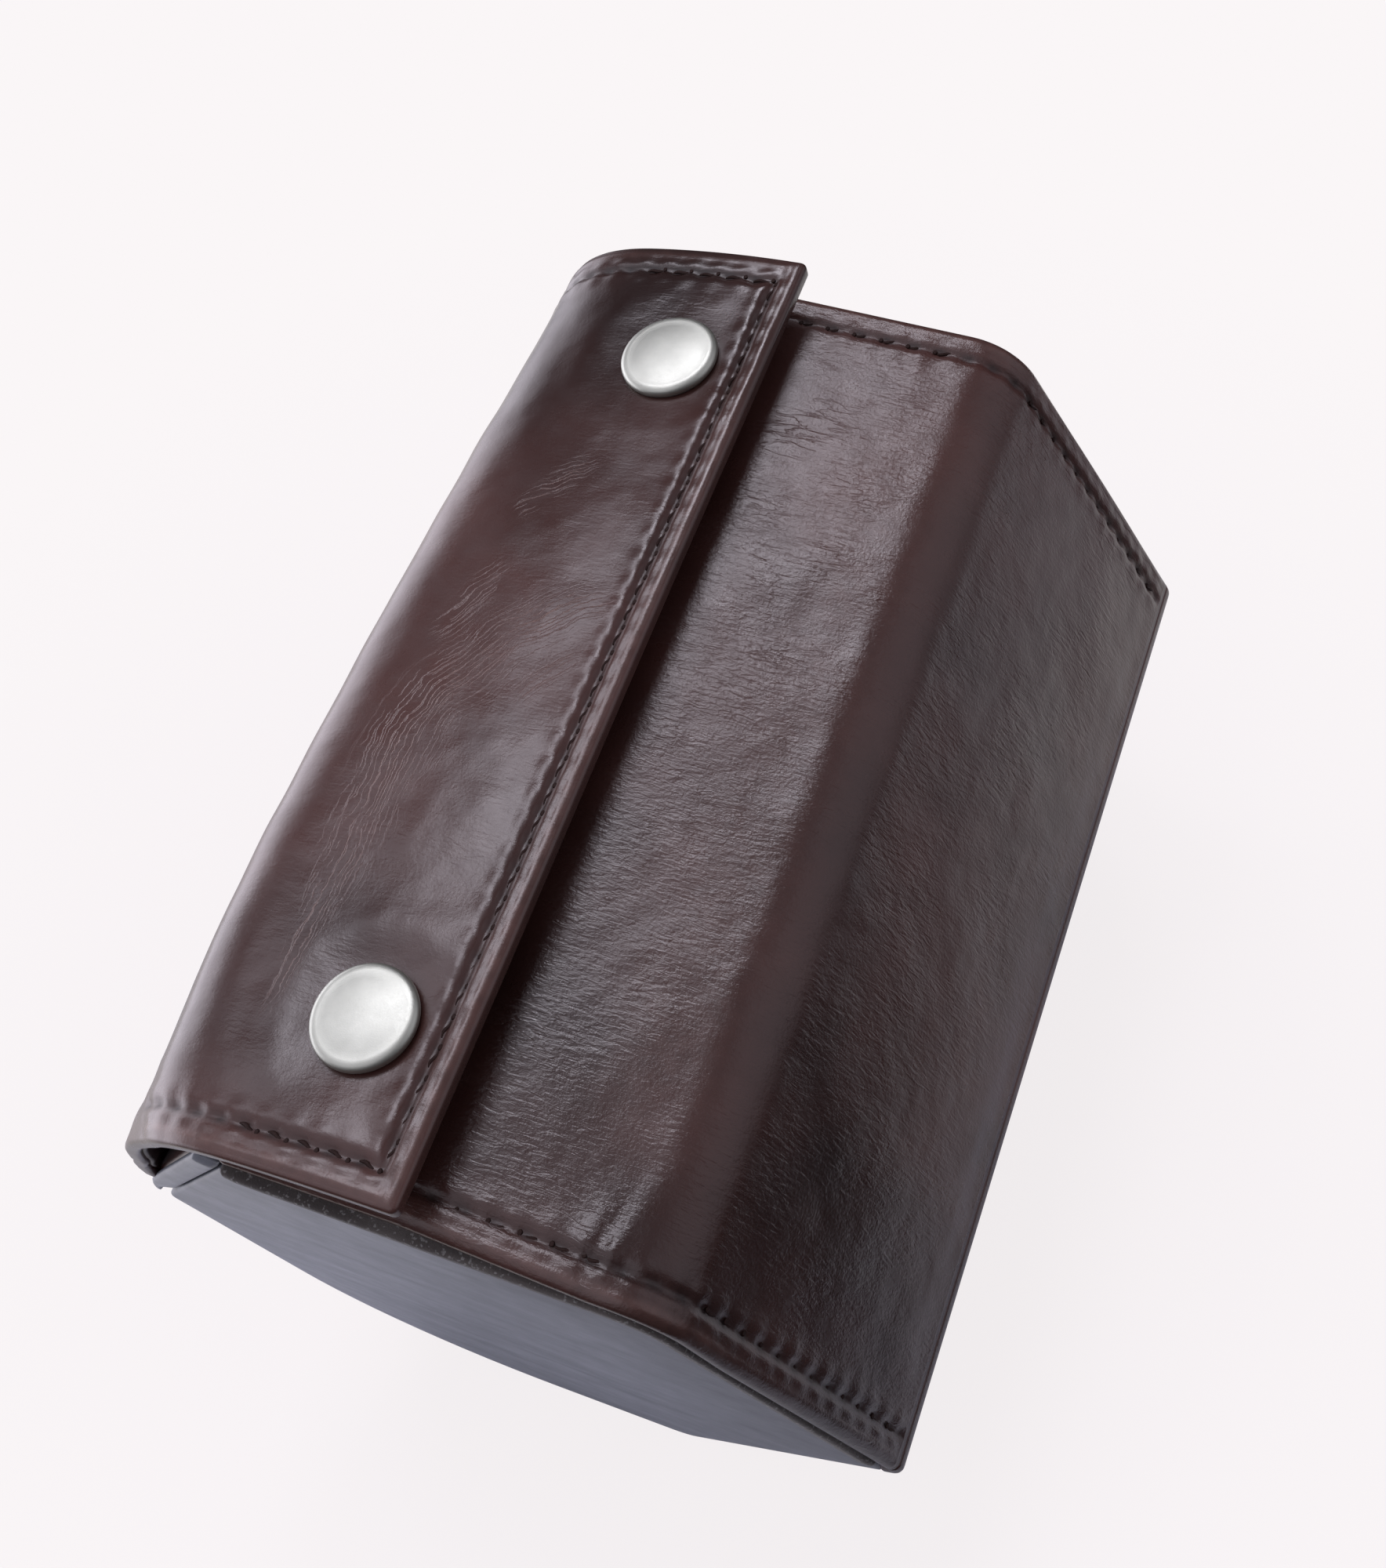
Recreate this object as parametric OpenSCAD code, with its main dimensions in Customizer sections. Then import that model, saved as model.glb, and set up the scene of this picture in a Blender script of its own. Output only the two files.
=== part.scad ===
// Leather watch case: a six-sided tray with end panels, a two-panel lid that bends at its ridge,
// and a flap that folds over the lid from the back and closes on two snap fasteners.
// The section is drawn in (x, z), seen from the near end, with the ridge of the lid at (0, 0).
// The case stands on its flat bottom, long axis along Y, lid on top, front to the right (+X).

/* [Case] */
// Length of the lid and of the case
case_l = 133; // [110:1:170]
// Width of the flat lid top, from the back edge to the ridge
top_w = 55; // [52:0.5:62]
// Width of the front slope of the lid, from the ridge to the front corner
front_w = 54.5; // [48:0.5:60]
// Angle by which the front slope turns down from the lid top
front_turn = 61; // [55:1:65]
// Height of the case from its bottom to the lid top
case_h = 93; // [86:1:100]
// Width of the upper back wall, from the back edge down to the back corner
back_w = 40.7; // [38:0.1:44]
// Steepness of the upper back wall
back_slope = 60; // [56:1:64]
// Steepness of the lower back wall
lower_back_slope = 70; // [66:1:74]
// Steepness of the lower front wall
lower_front_slope = 54; // [50:1:60]
// Radius of the back corner
back_corner_r = 12; // [8:1:16]
// Radius of the rear bottom corner
rear_bottom_r = 37.5; // [24:0.5:38]
// Radius of the front bottom corner
front_bottom_r = 6; // [5:0.5:12]
// Radius of the front corner, where the lid is hinged
front_corner_r = 2.6; // [2:0.1:4]
// Radius of the ridge of the lid
ridge_r = 10.5; // [8:0.5:13]

/* [Walls] */
// Thickness of the outer leather
leather_t = 1.4; // [1.2:0.1:1.8]
// Thickness of the stiffening board
board_t = 1.8; // [1.4:0.1:2.2]
// Thickness of the suede lining
lining_t = 0.8; // [0.6:0.1:1]
// Thickness of the end boards
end_board_t = 2; // [1.6:0.1:2.6]
// Thickness of the leather facing of the ends
end_leather_t = 1.2; // [1:0.1:1.6]
// How far the end facings lie inside the ends of the lid
end_recess = 0.2; // [0.1:0.1:1.5]
// Gap between the closed lid and the edges of the tray
lid_gap = 0.4; // [0.3:0.05:0.8]
// Depth by which the back wall stops below the lid top
back_edge_drop = 1.5; // [1.3:0.1:2.5]
// How far the boards of the lid stop short of the leather edges
board_margin = 1.2; // [0.8:0.1:2]
// Distance of the panel ends from the front corner
hinge_margin = 3.2; // [3:0.1:4]
// Thickness of the middle divider
divider_t = 4; // [3:0.5:6]
// Depth of the divider's top edge below the lid lining
divider_drop = 2; // [1:0.5:6]

/* [Flap] */
// How far each end of the flap stands out over the end of the lid, below zero for short of it
flap_overhang = -0.3; // [-1:0.1:3]
// Distance of the flap's free edge from the ridge
flap_edge_x = 27.8; // [24:0.1:30]
// Height of the flap's outer face over the lid at its free edge
flap_edge_h = 8; // [7.6:0.1:9]
// Slope of the flap down towards the fold
flap_tilt = 9; // [7:0.5:9]
// Thickness of the flap's lining
flap_lining_t = 1.2; // [1:0.1:1.4]
// Radius of the fold, outside
fold_r = 18; // [16:0.5:18]
// How far the fold stands off the back wall, outside
fold_off = 5; // [4.8:0.1:5.6]
// Distance down the back wall at which the free leather ends
free_l = 26; // [24:0.5:27]
// Width of the strip of the flap that is sewn to the back wall
anchor_w = 8.5; // [6:0.5:9]

/* [Snaps] */
// Distance of the snaps from the ridge
snap_x = 41; // [40:0.1:41.5]
// Distance of the snaps from the ends of the lid
snap_end = 19.2; // [15:0.1:30]
// Diameter of the snap cap
cap_d = 12.8; // [11:0.1:13.5]
// Height of the snap cap
cap_h = 1.9; // [1.6:0.1:2.4]
// Radius of the rolled edge of the cap
cap_edge_r = 0.75; // [0.5:0.05:0.8]
// Diameter of the cap's shank
shank_d = 3; // [2.6:0.1:3.4]
// Outer diameter of the socket
socket_d = 10.4; // [9.6:0.1:11]
// Diameter of the hollow in the socket
socket_hollow_d = 5.8; // [5.6:0.1:6]
// Gap between the socket and the lid
socket_gap = 0.7; // [0.6:0.05:0.8]
// Height of the hollow over the lid
hollow_top = 2.45; // [2.4:0.05:2.5]
// Diameter of the stud's base plate
stud_d = 9; // [8:0.1:9.6]
// Thickness of the stud's base plate
stud_base_t = 0.45; // [0.3:0.05:0.5]
// Diameter of the stud's neck
stud_neck_d = 2.6; // [2.4:0.1:2.8]
// Diameter of the stud's head
stud_head_d = 3.8; // [3.4:0.1:3.9]
// Height of the stud over the lid
stud_h = 2.1; // [1.9:0.05:2.2]
// Thickness of the spring ring in the socket
spring_t = 0.5; // [0.3:0.05:0.5]
// Hole of the spring ring
spring_hole_d = 3.2; // [3:0.1:3.4]
// Width of the cut in the spring ring
spring_cut = 1.2; // [0.6:0.1:2]
// Diameter of the rivet that holds the stud
rivet_d = 3; // [2.6:0.1:3.4]
// Diameter of the rivet's head under the lid board
rivet_head_d = 8.6; // [7.6:0.1:9]
// Thickness of the rivet's head
rivet_head_t = 0.5; // [0.4:0.05:0.6]
// Diameter of the rivet's tip inside the stud
rivet_tip_d = 1.7; // [1.4:0.1:1.9]
// How far the rivet's tip reaches over the lid
rivet_tip_l = 0.8; // [0.5:0.05:1]
// How far the cap's shank reaches into the socket
shank_reach = 0.5; // [0.3:0.05:0.6]
// Clearance of a shank in its hole, on the radius
shank_gap = 0.1; // [0.05:0.05:0.2]

/* [Stitching] */
// Distance from one stitch to the next
stitch_pitch = 3.7; // [3:0.1:5]
// Length of one stitch
stitch_l = 2.7; // [2:0.1:2.9]
// Thickness of the thread
thread_d = 0.6; // [0.4:0.05:0.8]
// Height of a stitch over the leather
stitch_h = 0.3; // [0.2:0.05:0.4]
// Distance of the stitching from the edge
stitch_margin = 4; // [3:0.1:5]

/* [Cushions] */
// Gap between a cushion and the lower back wall, at the cushion's middle height
cushion_back_gap = 9.7; // [9:0.1:14]
// Gap between a cushion and the lower front wall, at the cushion's middle height
cushion_front_gap = 6.1; // [5.5:0.1:12]
// Height of a cushion
cushion_h = 42; // [34:1:44]
// Gap between a cushion and each wall at its ends
cushion_end_gap = 2.4; // [1.5:0.1:6]
// Gap between a cushion and the floor
cushion_floor_gap = 0.3; // [0.2:0.05:0.5]
// How far the edges of a cushion's ends draw in
cushion_draw = 6; // [4:0.5:9]
// How much is taken off under a cushion, where it lies flat
cushion_flat = 0.5; // [0.3:0.1:1]
// Height of the bulge of a cushion's ends
cushion_bulge = 2.5; // [1:0.5:4]

/* [Hidden] */
$fn = 64;
BIG = 300;              // larger than the case, for cutting planes
TOUCH = 0.15;           // gap where a bending strip meets a panel that moves
wall_t = leather_t + board_t + lining_t;
board_in = leather_t + board_t;
half_l = case_l / 2;
flap_l = case_l + 2 * flap_overhang;
end_out = half_l - end_recess;            // outer face of the end facings
end_mid = end_out - end_leather_t;        // outer face of the end boards
end_in = end_mid - end_board_t;           // inner face of the end boards
room_end = end_in - lining_t;             // inner face of the end linings
arc_steps = 8;

// Vector helpers in the section plane.
function unit(v) = v / norm(v);
function left(u) = [-u[1], u[0]];
function heading(a) = [cos(a), sin(a)];
function cross2(u, v) = u[0] * v[1] - u[1] * v[0];
function meet(p, u, q, v) = p + u * cross2(q - p, v) / cross2(u, v);
function turned(v, a) = [v[0] * cos(a) - v[1] * sin(a), v[0] * sin(a) + v[1] * cos(a)];
function reversed(l) = [for (i = [len(l) - 1:-1:0]) l[i]];

// Corners of the section, anticlockwise from the back edge: back edge, back corner,
// rear bottom, front bottom, front corner, ridge.
ridge = [0, 0];
back_edge = [-top_w, 0];
front_corner = front_w * heading(-front_turn);
back_corner = back_edge + back_w * heading(180 + back_slope);
rear_bottom = meet(back_corner, heading(-lower_back_slope), [0, -case_h], [1, 0]);
front_bottom = meet(front_corner, heading(lower_front_slope), [0, -case_h], [1, 0]);
corners = [back_edge, back_corner, rear_bottom, front_bottom, front_corner, ridge];
radii = [0, back_corner_r, rear_bottom_r, front_bottom_r, front_corner_r, ridge_r];
function side_dir(i) = unit(corners[(i + 1) % 6] - corners[i % 6]);

// Arc that rounds the corner q between p and n: radius r before it is set in by d.
function bend(p, q, n, r, d = 0, steps = arc_steps) =
  let (u1 = unit(q - p), u2 = unit(n - q),
       turn = asin(cross2(u1, u2)),
       c = q + (left(u1) + left(u2)) * r / (1 + u1 * u2))
  [for (i = [0:steps]) c - (r - d) * turned(left(u1), turn * i / steps)];
function corner_arc(i, d) =
  bend(corners[i - 1], corners[i], corners[(i + 1) % 6], radii[i], d);

// Point on side i, at distance s from its first corner, set in by d.
function on_side(i, s, d) = corners[i] + side_dir(i) * s + left(side_dir(i)) * d;
function side_len(i) = norm(corners[(i + 1) % 6] - corners[i]);

// Outline of the tray's wall, set in by d, from the back edge round to the front corner.
back_stop = back_edge_drop / sin(back_slope);
function tray_line(d) = concat(
  [on_side(0, back_stop, d)],
  corner_arc(1, d), corner_arc(2, d), corner_arc(3, d),
  [on_side(3, side_len(3) - hinge_margin, d)]);

// Closed outline with each side set in by its own amount and each corner rounded.
function side_point(i, ds) = on_side(i % 6, 0, ds[i % 6]);
function inset_corner(i, ds) =
  meet(side_point(i + 5, ds), side_dir(i + 5), side_point(i, ds), side_dir(i));
function plate(ds, rs) =
  let (ps = [for (i = [0:5]) inset_corner(i, ds)])
  [for (i = [0:5]) each bend(ps[(i + 5) % 6], ps[i], ps[(i + 1) % 6], rs[i])];

// Where the lid's pieces end.
lid_edge_x = on_side(0, back_stop, wall_t)[0] + lid_gap;
ridge_tangent = ridge_r * tan(front_turn / 2);

// The flap: a flat panel, and a fold that rounds over the back edge.
flap_dir = heading(180 + flap_tilt);
flap_normal = -left(flap_dir);
flap_start = [-flap_edge_x, flap_edge_h];
fold_corner = meet(flap_start, flap_dir,
                   on_side(0, 0, -fold_off), side_dir(0));
fold_turn = back_slope - flap_tilt;
fold_tangent = fold_r * tan(fold_turn / 2);
flap_w = norm(fold_corner - flap_start) - fold_tangent;
function on_flap(s, d) = flap_start + flap_dir * s - flap_normal * d;
snap_s = (snap_x - flap_edge_x) / cos(flap_tilt);
fold_top = (fold_corner - back_edge) * side_dir(0) + fold_tangent;
fold_steps = 6;
// Below its bend the fold draws in to the back wall, down to the share t of its free length.
function fold_drop(t, d) =
  on_side(0, fold_top + (free_l - fold_top) * t, d - fold_off + (fold_off - leather_t) * t * t);
function fold_outer(d, last) = concat(
  bend(flap_start, fold_corner, fold_corner + side_dir(0), fold_r, d),
  [for (i = [1:last]) fold_drop(i / fold_steps, d)]);

// Place of the section in the model: the box of the case is centred, its bottom at zero.
left_arc = corners[1] + (left(side_dir(0)) + left(side_dir(1))) * back_corner_r
  / (1 + side_dir(0) * side_dir(1));
right_arc = corners[4] + (left(side_dir(3)) + left(side_dir(4))) * front_corner_r
  / (1 + side_dir(3) * side_dir(4));
shift_x = -(left_arc[0] - back_corner_r + right_arc[0] + front_corner_r) / 2;
snap_y = half_l - snap_end;
cushion_l = room_end - divider_t / 2 - 2 * cushion_end_gap;
cushion_y = (room_end + divider_t / 2) / 2;
cushion_z = -case_h + wall_t + cushion_floor_gap + cushion_h / 2 - cushion_flat;
function wall_x(i) = meet(on_side(i, 0, wall_t), side_dir(i), [0, cushion_z], [1, 0])[0];
cushion_back = wall_x(1) + cushion_back_gap;
cushion_front = wall_x(3) - cushion_front_gap;
cushion_w = cushion_front - cushion_back;
cushion_x = (cushion_front + cushion_back) / 2;

// Extrudes a section outline along the case, from y0 to y1.
module along(y0, y1) {
  translate([shift_x, y1, case_h])
    rotate([90, 0, 0])
      linear_extrude(y1 - y0)
        children();
}

// A layer between two lines of the section.
module layer(outer, inner, y0, y1) {
  along(y0, y1)
    polygon(concat(outer, reversed(inner)));
}

// Puts children at a point of the section, with their Z along the direction at angle a.
module at(p, y, a = 90) {
  translate([p[0] + shift_x, y, p[1] + case_h])
    rotate([0, 90 - a, 0])
      children();
}

// ---- Tray ----
module base_leather() {
  color("#3a2a28")
    layer(tray_line(0), tray_line(leather_t), -end_mid, end_mid);
}

module back_board() {
  color("#8a7560")
    layer([on_side(0, back_stop, leather_t), corner_arc(1, leather_t)[0]],
          [on_side(0, back_stop, board_in), corner_arc(1, board_in)[0]], -end_mid, end_mid);
}

module base_board() {
  outer = concat(corner_arc(1, leather_t), corner_arc(2, leather_t),
                 corner_arc(3, leather_t));
  inner = concat(corner_arc(1, board_in), corner_arc(2, board_in),
                 corner_arc(3, board_in));
  color("#94806a")
    layer(outer, inner, -end_mid, end_mid);
}

module front_board() {
  last = arc_steps;
  far_s = side_len(3) - hinge_margin;
  color("#8a7560")
    layer([corner_arc(3, leather_t)[last], on_side(3, far_s, leather_t)],
          [corner_arc(3, board_in)[last], on_side(3, far_s, board_in)], -end_mid, end_mid);
}

module base_lining() {
  color("#6b5a4c")
    layer(tray_line(board_in), tray_line(wall_t), -end_in, end_in);
}

// Outline that fits inside the tray's walls, with a gap d to the lid above the lining.
function inner_plate(side_in, top_in) = plate(
  [side_in, side_in, side_in, side_in, top_in, top_in],
  [0.6, back_corner_r - side_in, rear_bottom_r - side_in,
   max(front_bottom_r - side_in, 0.6), 0.6, ridge_r - top_in]);
lid_clear = wall_t + lid_gap;

module end_board(y0) {
  color("#8a7560")
    along(y0, y0 + end_board_t)
      polygon(inner_plate(board_in, lid_clear));
}

module end_board_near() {
  end_board(-end_mid);
}

module end_board_far() {
  end_board(end_in);
}

// The facing covers the ends of the walls, but leaves the edge of the upper back wall showing.
module end_leather(y0) {
  shown = 0.2;
  sides = [wall_t + lid_gap, shown, shown, shown, lid_clear, lid_clear];
  color("#7d808a")
    along(y0, y0 + end_leather_t)
      polygon(plate(sides, [0.6, back_corner_r / 2, rear_bottom_r, front_bottom_r,
                            0.6, ridge_r - lid_clear]));
}

module end_leather_near() {
  end_leather(-end_out);
}

module end_leather_far() {
  end_leather(end_mid);
}

module end_lining(y0) {
  color("#6b5a4c")
    along(y0, y0 + lining_t)
      polygon(inner_plate(wall_t, lid_clear));
}

module end_lining_near() {
  end_lining(-end_in);
}

module end_lining_far() {
  end_lining(room_end);
}

module divider() {
  color("#75634f")
    along(-divider_t / 2, divider_t / 2)
      polygon(inner_plate(wall_t, wall_t + divider_drop));
}

// A pillow along Y: a rounded section that shrinks towards its ends, flat underneath, and
// ends that bulge.
function puff(t) = pow(1 - pow(abs(t), 3), 1 / 3);
function rounded(c) = sign(c) * pow(abs(c), 0.9);
function pillow_ring(y, draw, scale) =
  [for (j = [0:cushion_sides - 1])
    let (a = 360 * j / cushion_sides,
         x = (cushion_w / 2 - draw) * rounded(cos(a)),
         z = (cushion_h / 2 - draw) * rounded(sin(a)))
    [x * scale, y, max(z, cushion_flat - cushion_h / 2) * scale]];

cushion_sides = 36;
cushion_rings = 11;
module cushion(y) {
  edge = cushion_l / 2 - cushion_bulge;
  inner = [0.35, 0.7];
  ends = [for (s = inner) [edge + cushion_bulge * (1 - s * s), cushion_draw, s]];
  middle = [for (i = [0:cushion_rings - 1])
    let (t = sin(-90 + 180 * i / (cushion_rings - 1)))
    [edge * t, cushion_draw * (1 - puff(t)), 1]];
  stations = concat([for (e = ends) [-e[0], e[1], e[2]]], middle, reversed(ends));
  count = len(stations);
  points = [for (s = stations) each pillow_ring(s[0], s[1], s[2])];
  tips = [[0, -cushion_l / 2, 0], [0, cushion_l / 2, 0]];
  function id(i, j) = i * cushion_sides + (j % cushion_sides);
  first = len(points);
  faces = concat(
    [for (i = [0:count - 2]) for (j = [0:cushion_sides - 1])
      each [[id(i, j), id(i, j + 1), id(i + 1, j + 1)],
            [id(i, j), id(i + 1, j + 1), id(i + 1, j)]]],
    [for (j = [0:cushion_sides - 1]) [first, id(0, j + 1), id(0, j)]],
    [for (j = [0:cushion_sides - 1]) [first + 1, id(count - 1, j), id(count - 1, j + 1)]]);
  color("#8d7b66")
    translate([shift_x + cushion_x, y, case_h + cushion_z])
      polyhedron(concat(points, tips), faces);
}

module cushion_near() {
  cushion(-cushion_y);
}

module cushion_far() {
  cushion(cushion_y);
}

// Leather that bends at the front corner, between the tray and the lid's front panel.
module front_hinge_leather() {
  lid_s = hinge_margin - TOUCH;
  outer = concat([on_side(3, side_len(3) - hinge_margin, 0)], corner_arc(4, 0),
                 [on_side(4, lid_s, 0)]);
  inner = concat([on_side(3, side_len(3) - hinge_margin, leather_t)],
                 corner_arc(4, leather_t), [on_side(4, lid_s, leather_t)]);
  color("#3a2a28")
    layer(outer, inner, -end_mid, end_mid);
}

// The end of the flap's leather, sewn flat on the outside of the back wall.
module flap_anchor() {
  color("#4a3432")
    layer([on_side(0, free_l, -leather_t), on_side(0, free_l + anchor_w, -leather_t)],
          [on_side(0, free_l, 0), on_side(0, free_l + anchor_w, 0)],
          -flap_l / 2, flap_l / 2);
}

// A stitch lies on the plane z = 0, along X.
module stitch() {
  translate([-stitch_l / 2, -thread_d / 2, 0])
    cube([stitch_l, thread_d, stitch_h]);
}

// A row of stitches along X, centred, within a length l.
module stitch_row(l) {
  count = floor((l - stitch_l) / stitch_pitch) + 1;
  for (i = [0:count - 1])
    translate([(i - (count - 1) / 2) * stitch_pitch, 0, 0])
      stitch();
}

module anchor_stitching() {
  color("#1d1414")
    at(on_side(0, free_l + anchor_w / 2, -leather_t), 0, 90 + back_slope)
      rotate([0, 0, 90])
        stitch_row(flap_l - 2 * stitch_margin);
}

// ---- Lid, front panel ----
function front_layer(d0, d1, margin) =
  let (s0 = hinge_margin + margin, s1 = front_w - ridge_tangent - margin)
  [on_side(4, s0, d0), on_side(4, s1, d0), on_side(4, s1, d1), on_side(4, s0, d1)];

module lid_front_leather() {
  color("#46332f")
    along(-half_l, half_l)
      polygon(front_layer(0, leather_t, 0));
}

module lid_front_board() {
  color("#8a7560")
    along(-half_l + board_margin, half_l - board_margin)
      polygon(front_layer(leather_t, board_in, 0));
}

module lid_front_lining() {
  color("#6b5a4c")
    along(-half_l, half_l)
      polygon(front_layer(board_in, wall_t, 0));
}

// Stitches on one end of a lid panel: mid is the middle of the panel, facing up at angle a.
module end_rows(mid, a, l) {
  for (side = [-1, 1])
    at(mid, side * (half_l - stitch_margin), a)
      stitch_row(l);
}

module lid_front_stitching() {
  l = front_w - ridge_tangent - hinge_margin;
  color("#1d1414")
    end_rows(on_side(4, hinge_margin + l / 2, 0), 90 - front_turn, l);
}

// ---- Ridge of the lid ----
module ridge_strip(d0, d1) {
  layer(corner_arc(5, d0), corner_arc(5, d1), -half_l, half_l);
}

module ridge_leather() {
  color("#4a3531")
    ridge_strip(0, leather_t);
}

module ridge_lining() {
  color("#6b5a4c")
    ridge_strip(board_in, wall_t);
}

// ---- Lid, top panel ----
module top_layer(d0, d1, y, edge = 0) {
  x0 = lid_edge_x + edge;
  x1 = -ridge_tangent - TOUCH;
  along(-y, y)
    polygon([[x0, -d0], [x1, -d0], [x1, -d1], [x0, -d1]]);
}

// Straight hole through the lid at both snaps.
module snap_holes(r) {
  for (side = [-1, 1])
    at([-snap_x, -2 * wall_t], side * snap_y)
      cylinder(h = 4 * wall_t, r = r);
}

module lid_top_leather() {
  color("#46332f")
    difference() {
      top_layer(0, leather_t, half_l);
      snap_holes(rivet_d / 2 + shank_gap);
    }
}

module lid_top_board() {
  color("#8a7560")
    difference() {
      top_layer(leather_t, board_in, half_l - board_margin, board_margin);
      snap_holes(rivet_d / 2 + shank_gap);
      for (side = [-1, 1])
        at([-snap_x, -board_in], side * snap_y)
          translate([0, 0, -1])
            cylinder(h = rivet_head_t + 1, r = rivet_head_d / 2 + shank_gap);
    }
}

module lid_top_lining() {
  color("#6b5a4c")
    top_layer(board_in, wall_t, half_l);
}

module lid_top_stitching() {
  x1 = -ridge_tangent;
  color("#1d1414")
    end_rows([(lid_edge_x + x1) / 2, 0], 90, x1 - lid_edge_x - 2);
}

// ---- Snaps ----
module snap_stud(y) {
  base_r = stud_d / 2;
  neck_r = stud_neck_d / 2;
  head_r = stud_head_d / 2;
  neck_top = stud_h - 0.95;
  hole_r = rivet_tip_d / 2 + shank_gap / 2;
  hole_top = rivet_tip_l + 0.05;
  color("#b9b6ae")
    at([-snap_x, 0], y)
      rotate_extrude()
        polygon([[hole_r, 0], [base_r, 0], [base_r, stud_base_t * 0.5],
                 [base_r - 0.6, stud_base_t], [neck_r + 0.3, stud_base_t],
                 [neck_r, stud_base_t + 0.3], [neck_r, neck_top],
                 [head_r, neck_top + 0.35], [head_r, stud_h - 0.35],
                 [head_r - 0.5, stud_h], [0, stud_h], [0, hole_top], [hole_r, hole_top]]);
}

module snap_stud_near() {
  snap_stud(-snap_y);
}

module snap_stud_far() {
  snap_stud(snap_y);
}

module stud_rivet(y) {
  shank_r = rivet_d / 2;
  color("#b9b6ae")
    at([-snap_x, -board_in], y)
      rotate_extrude()
        polygon([[0, 0], [rivet_head_d / 2, 0], [rivet_head_d / 2, rivet_head_t],
                 [shank_r, rivet_head_t], [shank_r, board_in], [rivet_tip_d / 2, board_in],
                 [rivet_tip_d / 2, board_in + rivet_tip_l], [0, board_in + rivet_tip_l]]);
}

module stud_rivet_near() {
  stud_rivet(-snap_y);
}

module stud_rivet_far() {
  stud_rivet(snap_y);
}

// Length of the shank from the flap's outer face.
shank_l = leather_t + flap_lining_t + shank_reach;

// Hole of the cap's shank, square to the flap.
module shank_holes(r) {
  for (side = [-1, 1])
    at(on_flap(snap_s, shank_l), side * snap_y, 90 + flap_tilt)
      cylinder(h = 2 * shank_l, r = r);
}

// Low dome with a rolled edge, and the shank that goes through the flap.
module snap_cap(y) {
  r = cap_d / 2;
  crown = [for (i = [0:6]) let (a = 90 * i / 6)
    [r - cap_edge_r + cap_edge_r * cos(a), cap_edge_r * (0.9 + sin(a))]];
  rise = cap_h - cap_edge_r * 1.9;
  dome = [for (i = [1:6]) let (k = 1 - i / 6)
    [(r - cap_edge_r) * k, cap_edge_r * 1.9 + rise * (1 - k * k)]];
  color("#c9c6be")
    at(on_flap(snap_s, 0), y, 90 + flap_tilt) {
      rotate_extrude()
        polygon(concat([[0, 0], [r - 0.35, 0], [r, 0.3]], crown, dome));
      translate([0, 0, -shank_l])
        cylinder(h = shank_l + 0.4, r = shank_d / 2);
    }
}

module snap_cap_near() {
  snap_cap(-snap_y);
}

module snap_cap_far() {
  snap_cap(snap_y);
}

// A ring under the flap, cut off along the flap's underside.
module snap_socket(y) {
  under = leather_t + flap_lining_t;
  reach = socket_d;
  color("#b9b6ae")
    difference() {
      at([-snap_x, socket_gap], y)
        cylinder(h = hollow_top + 3, r = socket_d / 2);
      at([-snap_x, 0], y)
        cylinder(h = hollow_top, r = socket_hollow_d / 2);
      along(y - reach, y + reach)
        polygon([on_flap(snap_s - reach, under), on_flap(snap_s + reach, under),
                 on_flap(snap_s + reach, under - reach), on_flap(snap_s - reach, under - reach)]);
      at(on_flap(snap_s, shank_l), y, 90 + flap_tilt)
        cylinder(h = 2 * shank_l, r = shank_d / 2);
    }
}

module snap_socket_near() {
  snap_socket(-snap_y);
}

module snap_socket_far() {
  snap_socket(snap_y);
}

// Split spring ring in the mouth of the socket, round the stud's neck.
module socket_spring(y) {
  color("#b9b6ae")
    at([-snap_x, socket_gap], y)
      difference() {
        cylinder(h = spring_t, r = socket_hollow_d / 2);
        translate([0, 0, -1])
          cylinder(h = spring_t + 2, r = spring_hole_d / 2);
        translate([0, -spring_cut / 2, -1])
          cube([socket_hollow_d, spring_cut, spring_t + 2]);
      }
}

module socket_spring_near() {
  socket_spring(-snap_y);
}

module socket_spring_far() {
  socket_spring(snap_y);
}

// ---- Flap ----
module flap_panel(d0, d1) {
  s1 = flap_w - TOUCH;
  along(-flap_l / 2, flap_l / 2)
    polygon([on_flap(0, d0), on_flap(s1, d0), on_flap(s1, d1), on_flap(0, d1)]);
}

module flap_leather() {
  color("#5a3f3c")
    difference() {
      flap_panel(0, leather_t);
      shank_holes(shank_d / 2 + shank_gap);
    }
}

module flap_lining() {
  color("#4a3936")
    difference() {
      flap_panel(leather_t, leather_t + flap_lining_t);
      shank_holes(shank_d / 2 + shank_gap);
    }
}

// Leather that bends over the back edge, from the strip on the back wall up to the flap.
module fold_leather() {
  color("#5a3f3c")
    layer(fold_outer(0, fold_steps), fold_outer(leather_t, fold_steps),
          -flap_l / 2, flap_l / 2);
}

module fold_lining() {
  last = fold_steps - 3;
  color("#4a3936")
    layer(fold_outer(leather_t, last), fold_outer(leather_t + flap_lining_t, last),
          -flap_l / 2, flap_l / 2);
}

module flap_stitching() {
  across = flap_w - stitch_margin;
  mid = on_flap((flap_w + stitch_margin) / 2, 0);
  color("#1d1414") {
    at(on_flap(stitch_margin, 0), 0, 90 + flap_tilt)
      rotate([0, 0, 90])
        stitch_row(flap_l - 2 * stitch_margin);
    for (side = [-1, 1])
      at(mid, side * (flap_l / 2 - stitch_margin), 90 + flap_tilt)
        stitch_row(across - stitch_l);
  }
}

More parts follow.
